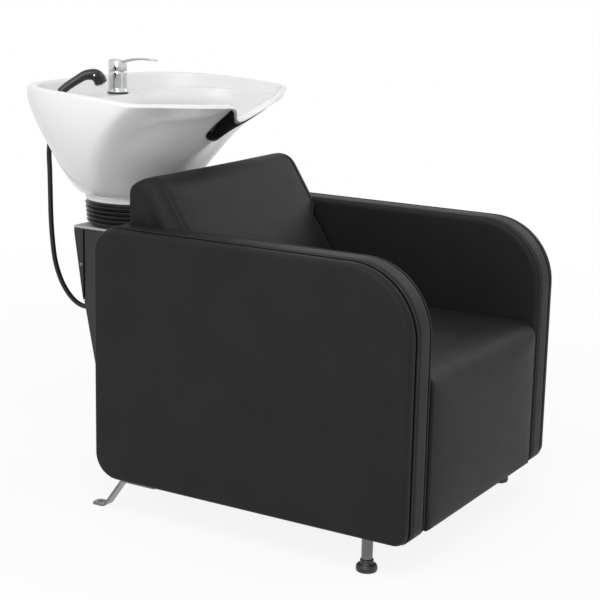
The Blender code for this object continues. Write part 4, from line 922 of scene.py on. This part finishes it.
def bellows_profile():
    """Outer wall: radius = crest - depth ((1 - cos)/2)^1.3 down the ribs; the inner one lies 3 mm inside."""
    cuff = 0.006
    fall = np.linspace(0, BELLOWS_RIBS, 81)
    z = BELLOWS_HIGH - cuff - fall * (BELLOWS_HIGH - BELLOWS_LOW - 2 * cuff) / BELLOWS_RIBS
    crest = 0.1165 + 0.0040 * (1 - fall / BELLOWS_RIBS)
    wave = (0.5 - 0.5 * np.cos(2 * np.pi * (fall - 0.4))) ** 1.3
    radius = crest - 0.0065 * wave
    outer = np.concatenate([[[0.115, BELLOWS_HIGH]], np.stack([radius, z], -1), [[0.104, BELLOWS_LOW]]])
    inner = outer[::-1] - [0.003, 0.0]
    return np.concatenate([outer, inner])


bellows = turned("bellows_ribbed", bellows_profile(), (0, COLLAR_Y, 0), RUBBER, 72, closed=True)
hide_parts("bellows")
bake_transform(bellows)
print("bellows ribs", BELLOWS_RIBS)

# %% [markdown]
# ## The mixer
# A chromed single-lever tap stands on the deck on a rubber gasket. Body and cap are turned; the lever
# is a flat strip that grows out of the cap's top, dips and arches forward.

# %% Mixer body and gasket
MIXER = (0.0, MIXER_Y, 0.0)
DECK_SEAT, GASKET_TOP, GASKET_HOLE, GASKET_R = 0.8893, 0.8923, 0.0136, 0.0249
BODY_Z, BODY_TOP, CAP_Z, CAP_TOP = 0.8926, 0.9426, 0.9429, 0.9689
gasket = turned("mixer_gasket_ring", fillet([
    (GASKET_HOLE, DECK_SEAT, 0.0), (GASKET_R, DECK_SEAT, 0.0008), (GASKET_R, GASKET_TOP, 0.0012),
    (GASKET_HOLE, GASKET_TOP, 0.0),
], 4), MIXER, RUBBER, 64, closed=True)
body = turned("mixer_body_chrome", [
    (0.0130, BODY_Z - 0.040), (0.0130, BODY_Z), (0.0230, BODY_Z), (0.0234, BODY_Z + 0.0008),
    (0.0234, BODY_Z + 0.0030), (0.0228, BODY_Z + 0.0042), (0.0222, BODY_Z + 0.0060), (0.0219, BODY_Z + 0.012),
    (0.0218, BODY_Z + 0.030), (0.0220, BODY_TOP - 0.0060), (0.0220, BODY_TOP - 0.0012),
    (0.0216, BODY_TOP - 0.0003), (0.0209, BODY_TOP), (0.0088, BODY_TOP),
    (0.0086, BODY_TOP - 0.0003), (0.0086, BODY_TOP - 0.0180),
], MIXER, CHROME, 64, sharp=50.0)
for piece, node, slot in ((gasket, "mixer_gasket", "black_rubber"), (body, "mixer_body", "chrome")):
    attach(piece, "basin")
    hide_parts(node)
print("mixer body faces", len(body.data.polygons))

# %% Mixer handle
def cap_grid():
    """The cap: rings whose top edge rises to the rear and falls to the front, hollow below for the stem."""
    turn = np.linspace(0, 2 * np.pi, 64, endpoint=False)
    ring = np.stack([np.cos(turn), np.sin(turn)], -1)
    profile = np.array([
        (0.0120, CAP_Z + 0.0113, 0.0), (0.0120, CAP_Z, 0.0), (0.0208, CAP_Z, 0.0),
        (0.0217, CAP_Z + 0.0006, 0.0), (0.0220, CAP_Z + 0.0020, 0.0),
        (0.0220, CAP_TOP - 0.0045, 1.0), (0.0217, CAP_TOP - 0.0028, 1.0),
        (0.0205, CAP_TOP - 0.0018, 1.0), (0.0150, CAP_TOP - 0.0030, 0.7), (0.0080, CAP_TOP - 0.0040, 0.3),
        (0.0010, CAP_TOP - 0.0042, 0.0),
    ])
    flat = profile[:, 0, None, None] * ring[None]
    rise = profile[:, 2, None] * 0.0025 * np.sin(turn)[None]
    z = profile[:, 1, None] + rise
    return np.concatenate([flat, z[..., None]], -1) + [0, MIXER_Y, 0]


def lever_grid():
    """A lens-shaped section carried along the lever's line; width and thickness follow the share along it."""
    share = np.linspace(-0.14, 1.0, 49)
    y = MIXER_Y - 0.004 - 0.108 * share
    arch = 0.006 * np.sin(np.pi * np.clip(share, 0, 1))
    heel = 0.30 * np.minimum(share, 0) ** 2
    z = CAP_TOP - 0.0065 + 0.011 * share + arch + heel
    tip = np.clip((share - 0.86) / 0.14, 0, 1)
    root = np.clip(1 - share / 0.22, 0, 1)
    half = 0.012 * (0.72 + 0.28 * share) * (1 - 0.45 * tip ** 2.5) + 0.006 * root ** 2
    thick = 0.0085 * (1 - 0.45 * share)
    turn = np.linspace(0, 2 * np.pi, 24, endpoint=False)
    across = np.sign(np.cos(turn)) * np.abs(np.cos(turn)) ** 0.6
    lift = np.sin(turn) * np.where(np.sin(turn) > 0, 0.4, 0.6)
    x = half[:, None] * across[None]
    up = z[:, None] + thick[:, None] * lift[None]
    return np.stack([x, np.broadcast_to(y[:, None], x.shape), up], -1)


cap = skin("mixer_cap", cap_grid(), CHROME, sharp=50.0)
lever = skin("mixer_lever", lever_grid(), CHROME, sharp=60.0)
for piece in (cap, lever):
    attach(piece, "mixer_handle")
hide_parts("mixer_handle")
print("lever faces", len(lever.data.polygons))

# %% [markdown]
# ## The hand shower
# The black handset stands in a dock in the deck. Its neck bends over and thickens into the head,
# which ends in a chromed spray plate. A short stretch of the hose goes with it when it is pulled up.

# %% Hand shower
HANDLE_R, HEAD_R, SHANK_R = 0.0098, 0.0150, 0.0083
HAND_LEAN = (0.60, 0.80, 0.0)
HAND_ROUTE = DOCK + np.array([
    (0, 0, 0.0035), (0.002, -0.002, 0.010), (0.012, -0.010, 0.021), (0.029, -0.024, 0.035),
    (0.048, -0.035, 0.046), (0.065, -0.047, 0.047), (0.075, -0.053, 0.039), (0.079, -0.056, 0.028),
])
hand_line = through(HAND_ROUTE, 0.002)
forward = np.clip((hand_line[:, 0] - DOCK[0]) / 0.070, 0, 1)
hand_radius = HANDLE_R + (HEAD_R - HANDLE_R) * forward ** 3
shank = DOCK + np.array([(0, 0, -0.058), (0, 0, -0.030), (0, 0, 0.0003)])
hand_line = np.concatenate([shank, hand_line])
hand_radius = np.concatenate([np.full(3, SHANK_R), hand_radius])
handset = tube("hand_shower_body", hand_line, hand_radius, GLOSSY, 28, lean=HAND_LEAN)
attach(handset, "hand_shower")
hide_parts("hand_shower")

AIM = unit(hand_line[-1] - hand_line[-2])
spray_line = hand_line[-1] + AIM * column([0.0003, 0.0008, 0.0034, 0.0042, 0.0043])
spray_radius = np.array([0.0124, 0.0129, 0.0129, 0.0120, 0.0100])
spray = tube("spray_plate", spray_line, spray_radius, CHROME, 40, lean=HAND_LEAN)
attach(spray, "hand_shower")
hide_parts("spray_face")
print("handset faces", len(handset.data.polygons))

# %% Spray button
BUTTON_OUT = unit(np.array([-0.80, -0.58, 0.15]))
button_line = DOCK + np.array([0.066, -0.047, 0.045]) + BUTTON_OUT * column([0.0100, 0.0138, 0.0148, 0.0151])
button_radius = np.array([0.0030, 0.0030, 0.0024, 0.0012])
button = tube("spray_button", button_line, button_radius, CHROME, 24, lean=(0.0, 0.0, 1.0))
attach(button, "hand_shower")
print("button faces", len(button.data.polygons))

# %% Hose end
HOSE_END_R = 0.0045
hose_end_line = HOSE_TOP - np.array([(0, 0, 0), (0, 0, 0.008), (0, 0, 0.015)])
hose_end = tube("hand_shower_hose_end", hose_end_line, HOSE_END_R, RUBBER)
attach(hose_end, "hand_shower")
print("hose end", round(float(run_along(hose_end_line)[-1]), 3), "m")

# %% Dock
dock = turned("handset_dock_ring", fillet([
    (0.0095, DOCK[2] - 0.072, 0.0), (0.0135, DOCK[2] - 0.072, 0.001), (0.0135, DECK_SEAT, 0.0),
    (0.0195, DECK_SEAT, 0.0008), (0.0195, DOCK[2], 0.0018), (0.0095, DOCK[2], 0.0012),
], 5), (DOCK[0], DOCK[1], 0.0), GLOSSY, 48, closed=True)
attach(dock, "basin")
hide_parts("handset_dock")
print("dock faces", len(dock.data.polygons))

# %% [markdown]
# ## Legs and feet
# At the front a chromed tube stands on a black levelling foot under each arm. At the rear a flat bar
# is bent down to the floor and ends in a tab with a hole for a floor bolt.

# %% Front legs
LEG_Y, ARM_MID = -0.452, 0.3285


def front_leg(word, side):
    """Two turned pieces: the tube, and the foot with its collar and spreading base."""
    centre = (side * ARM_MID, LEG_Y, 0.0)
    leg = turned(f"{word}_leg_tube", [
        (0.0056, 0.0263), (0.0112, 0.0263), (0.0118, 0.0267), (0.0120, 0.0275), (0.0120, 0.0735),
        (0.0132, 0.0737), (0.0134, 0.0742), (0.0132, 0.0747), (0.0056, 0.0747),
    ], centre, SATIN, 48, closed=True, sharp=50.0)
    foot = turned(f"{word}_foot_pad", [
        (0.0195, 0.0), (0.0212, 0.0008), (0.0222, 0.0028), (0.0225, 0.0050), (0.0225, 0.0085),
        (0.0220, 0.0112), (0.0205, 0.0138), (0.0184, 0.0158), (0.0160, 0.0172), (0.0146, 0.0186),
        (0.0141, 0.0200), (0.0141, 0.0248), (0.0136, 0.0257), (0.0128, 0.0260),
        (0.0050, 0.0260), (0.0050, 0.0560),
    ], centre, MOULDED, 48, sharp=50.0)
    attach(leg, "chair")
    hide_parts(f"{word}_front_leg")
    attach(foot, f"{word}_foot")
    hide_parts(f"{word}_levelling_foot")


for word, side in SIDES:
    front_leg(word, side)
print("front legs at", ARM_MID, "m from the middle")

# %% Rear strap feet
STRAP_HALF, STRAP_THICK, TAB_ROUND = 0.016, 0.005, 0.009
ANCHOR_Y, BOLT_YS = 0.2357, (0.09375, 0.13125)
STRAP_KNEE, STRAP_HEEL, STRAP_TOP = 0.166, 0.216, 0.0747


def strap_line():
    """The bar's middle line in the side view, with a rounded bend at the knee and at the floor."""
    top, floor = STRAP_TOP - STRAP_THICK / 2, STRAP_THICK / 2
    corners = [
        (STRAP_HEEL - 0.141, top, 0.0), (STRAP_KNEE, top, 0.010), (STRAP_HEEL, floor, 0.010),
        (STRAP_HEEL + 0.034, floor, 0.0),
    ]
    return fillet(corners, 8)


def strap(word, side):
    """A flat section with rounded edges carried along the line; its width rounds off at the tab's end."""
    bent = strap_line()
    run = run_along(bent)
    tip = run[-1] - TAB_ROUND * (1 - np.sin(np.linspace(0, np.pi / 2, 12)))
    even = np.unique(np.concatenate([np.linspace(0, run[-1] - TAB_ROUND, 60), tip]))
    line = sample(bent, run, even)
    along = unit(np.gradient(line, axis=0))
    up = np.stack([-along[:, 1], along[:, 0]], -1)
    into = np.clip((even - run[-1] + TAB_ROUND) / TAB_ROUND, 0, 1)
    half = STRAP_HALF - TAB_ROUND + TAB_ROUND * np.sqrt(np.clip(1 - into ** 2, 0.0004, 1))
    box_at, _ = rounded_outline(np.array([-1.0, -0.5]), np.array([1.0, 0.5]), (0.2, 0.2, 0.2, 0.2), 0.14)
    x = side * ARM_MID + half[:, None] * box_at[None, :, 0]
    flat = line[:, None] + STRAP_THICK * box_at[None, :, 1, None] * up[:, None]
    bar = skin(f"{word}_strap_bar", np.concatenate([x[..., None], flat], -1), ZINC, sharp=50.0)
    tools = [pin("anchor_hole", side * ARM_MID, ANCHOR_Y, 0.0055, -0.01, 0.02, 32)]
    tools += [pin(f"bolt_hole_{y}", side * ARM_MID, y, 0.0043, 0.060, 0.085, 24) for y in BOLT_YS]
    carve(bar, tools, 50.0)
    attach(bar, "chair")
    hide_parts(f"{word}_strap_foot")


for word, side in SIDES:
    strap(word, side)
print("strap bend at", STRAP_KNEE, "and", STRAP_HEEL, "m")

# %% [markdown]
# ## The column's seams
# The column's rear cover is screwed on behind the main one, with a narrow gap between them on each
# side. The shade in that gap is painted: a thin, near-black round strip, partly sunk into the joint.

# %% Painted gap shade
SHADE_STRIP_R, SHADE_STRIP_LOW, SHADE_STRIP_STEPS = 0.0030, 0.408, 41
SHADE_STRIP_SUNK = 0.4 * SHADE_STRIP_R
column_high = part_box("column_cover")[1]
shade_strip_z = np.linspace(SHADE_STRIP_LOW, column_high[2] - SHADE_STRIP_R, SHADE_STRIP_STEPS)
# On each side a near-black strip paints the shade in the gap between the column's covers.
for word, side in SIDES:
    shade_strip_at = np.broadcast_to([side * (column_high[0] - SHADE_STRIP_SUNK), column_high[1]], (SHADE_STRIP_STEPS, 2))
    shade_strip = tube(f"{word}_column_gap_shade", np.concatenate([shade_strip_at, shade_strip_z[:, None]], -1), SHADE_STRIP_R, GAP_SHADE, 12)
    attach(shade_strip, "chair")
print("bead length", round(float(shade_strip_z[-1] - shade_strip_z[0]), 3), "m")

# %% [markdown]
# ## The hoses inside
# Hot and cold water rise through the column to the mixer's shank, and a third hose brings the mixed
# water down to the shower hose. They hang from the basin and end in the column.

# %% Inner hoses
TAIL_R, TAIL_LOW, TAIL_APART = 0.005, 0.100, 0.0066
SHANK_DROP, INLET_DEEP = 0.0403, 0.0103
SHANK_LOW = BODY_Z - SHANK_DROP
INLET = MOUTH - INLET_DEEP * OUTWARD


def inner_hose(name, route):
    """A tube on the solid's route, in place of the solid."""
    line = through(route, 0.012)
    piece = tube(f"{name}_fine", line, TAIL_R, RUBBER, 14)
    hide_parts(name)
    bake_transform(piece)
    print(name, round(float(run_along(line)[-1]), 3), "m")


for word, x in (("hot", -TAIL_APART), ("cold", TAIL_APART)):
    inner_hose(f"{word}_supply_hose", [
        (x, MIXER_Y, SHANK_LOW), (x, MIXER_Y, 0.70), (2 * x, MIXER_Y - 0.006, 0.60),
        (3 * x, MIXER_Y - 0.012, 0.45), (5 * x, MIXER_Y - 0.035, 0.30), (5 * x, MIXER_Y - 0.070, TAIL_LOW),
    ])
inner_hose("mixed_water_hose", [
    (0, MIXER_Y + 0.012, SHANK_LOW), (0, MIXER_Y + 0.014, 0.70), (-0.008, MIXER_Y + 0.012, 0.60),
    (-0.035, MIXER_Y - 0.008, 0.50), (-0.066, MIXER_Y - 0.034, 0.42), INLET - 0.020 * OUTWARD, INLET,
])

# %% [markdown]
# ## Solids that keep their own shape
# The column, the hinge, the drain and the boards under the seat are plain parts. Their solids already
# have the right shape, so they only get a finish. Solids that a new piece stands for get one too, but
# they are not shown.

# %% Finishes for carried-over solids
NODE_FINISH = {
    "column_cover": POWDER, "column_rear_cover": POWDER, "column_top_plate": PLATE, "seat_board": PLYWOOD,
    "cleat": PLYWOOD, "bush": NYLON, "screw": ZINC, "bolt": CHROME, "hinge_pin": CHROME, "drain": CHROME,
    "strainer": CHROME, "mixer_nut": CHROME, "mixer_stem": CHROME, "waste_pipe": MOULDED, "hose": RUBBER,
    "grommet": RUBBER,
}
for name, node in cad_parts.items():
    chosen = next((made for word, made in NODE_FINISH.items() if word in name), STEEL)
    node.data.materials.clear()
    node.data.materials.append(chosen)
print("finished solids", len(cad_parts))

# %% [markdown]
# ## Floor and light
# The picture is a studio cut-out on white. A pale floor catches a soft shadow, and what the camera
# and mirrors see of the surroundings is plain white. An even light comes from all round, and three
# large soft lamps add to it.

# %% Floor and world
def seen_directly(tap):
    """1 for rays from the camera, from mirrors and through glass, 0 for rays that carry light."""
    kinds = ("Is Camera Ray", "Is Glossy Ray", "Is Transmission Ray")
    camera_ray, glossy_ray, glass_ray = (tap.node("LightPath", out=kind) for kind in kinds)
    return camera_ray + glossy_ray + glass_ray


FLOOR_HALF, FLOOR_DROP = 90.0, 0.0006
floor_corners = np.array([(-1, -1, 0), (1, -1, 0), (1, 1, 0), (-1, 1, 0)], float)
floor_points = FLOOR_HALF * floor_corners - [0, 0, FLOOR_DROP]
floor_finish = bpy.data.materials.new("studio_floor")
floor_finish.use_nodes = True
tree = floor_finish.node_tree
tree.nodes.clear()
tap = Tap(tree)
paper = tap.node("TexNoise", None, {"Vector": tap.node("TexCoord", out=3), "Scale": 3.0})
tone = tap.node("Mix", {"data_type": "RGBA"}, {0: paper, 6: grey(0.86), 7: grey(0.90)}, out=2)
matt = tap.node("BsdfDiffuse", None, {"Color": tone})
glow = tap.node("Emission", None, {"Color": grey(1.0), "Strength": 1.0})
away = tap.node("VectorMath", {"operation": "LENGTH"}, {0: tap.node("TexCoord", out=3)}, out="Value")
reach = {"Value": away, "From Min": 0.7, "From Max": 3.2, "To Min": 0.88, "To Max": 0.995}
share = tap.node("MapRange", {"interpolation_type": "SMOOTHSTEP"}, reach)
mixed = tap.node("MixShader", None, {0: seen_directly(tap) * share, 1: matt, 2: glow})
tree.links.new(mixed.socket, tree.nodes.new("ShaderNodeOutputMaterial").inputs["Surface"])
floor = put("studio_floor", floor_points, [[0, 1, 2, 3]], floor_finish)
print("floor", 2 * FLOOR_HALF, "m wide")

world = bpy.data.worlds.new("studio")
SCENE.world = world
world.use_nodes = True
tree = world.node_tree
tree.nodes.clear()
tap = Tap(tree)
ambient = tap.node("Background", None, {"Color": grey(1.0), "Strength": 0.64})
white = tap.node("Background", None, {"Color": grey(1.0), "Strength": 1.0})
mixed = tap.node("MixShader", None, {0: seen_directly(tap), 1: ambient, 2: white})
tree.links.new(mixed.socket, tree.nodes.new("ShaderNodeOutputWorld").inputs["Surface"])

# %% Lamps
AIM_AT = np.array([0.0, 0.05, 0.55])


def soft_lamp(name, place, size, power):
    """A square area lamp that faces the middle of the unit."""
    data = bpy.data.lights.new(name, "AREA")
    data.shape = "SQUARE"
    data.size = size
    data.energy = power
    lamp = bpy.data.objects.new(name, data)
    SCENE.collection.objects.link(lamp)
    back = unit(np.asarray(place, float) - AIM_AT)
    right = unit(np.cross([0.0, 0.0, 1.0], back))
    turn = np.eye(4)
    turn[:3, :3] = np.stack([right, np.cross(back, right), back], -1)
    turn[:3, 3] = place
    lamp.matrix_world = Matrix(turn)


soft_lamp("key", (-2.8, -0.7, 1.2), 1.8, 20.0)
soft_lamp("right", (2.7, -1.0, 2.0), 2.0, 14.0)
soft_lamp("top", (-1.7, -0.6, 2.9), 2.2, 36.0)
SCENE.view_settings.view_transform = "Standard"
print("lamps", len(bpy.data.lights))
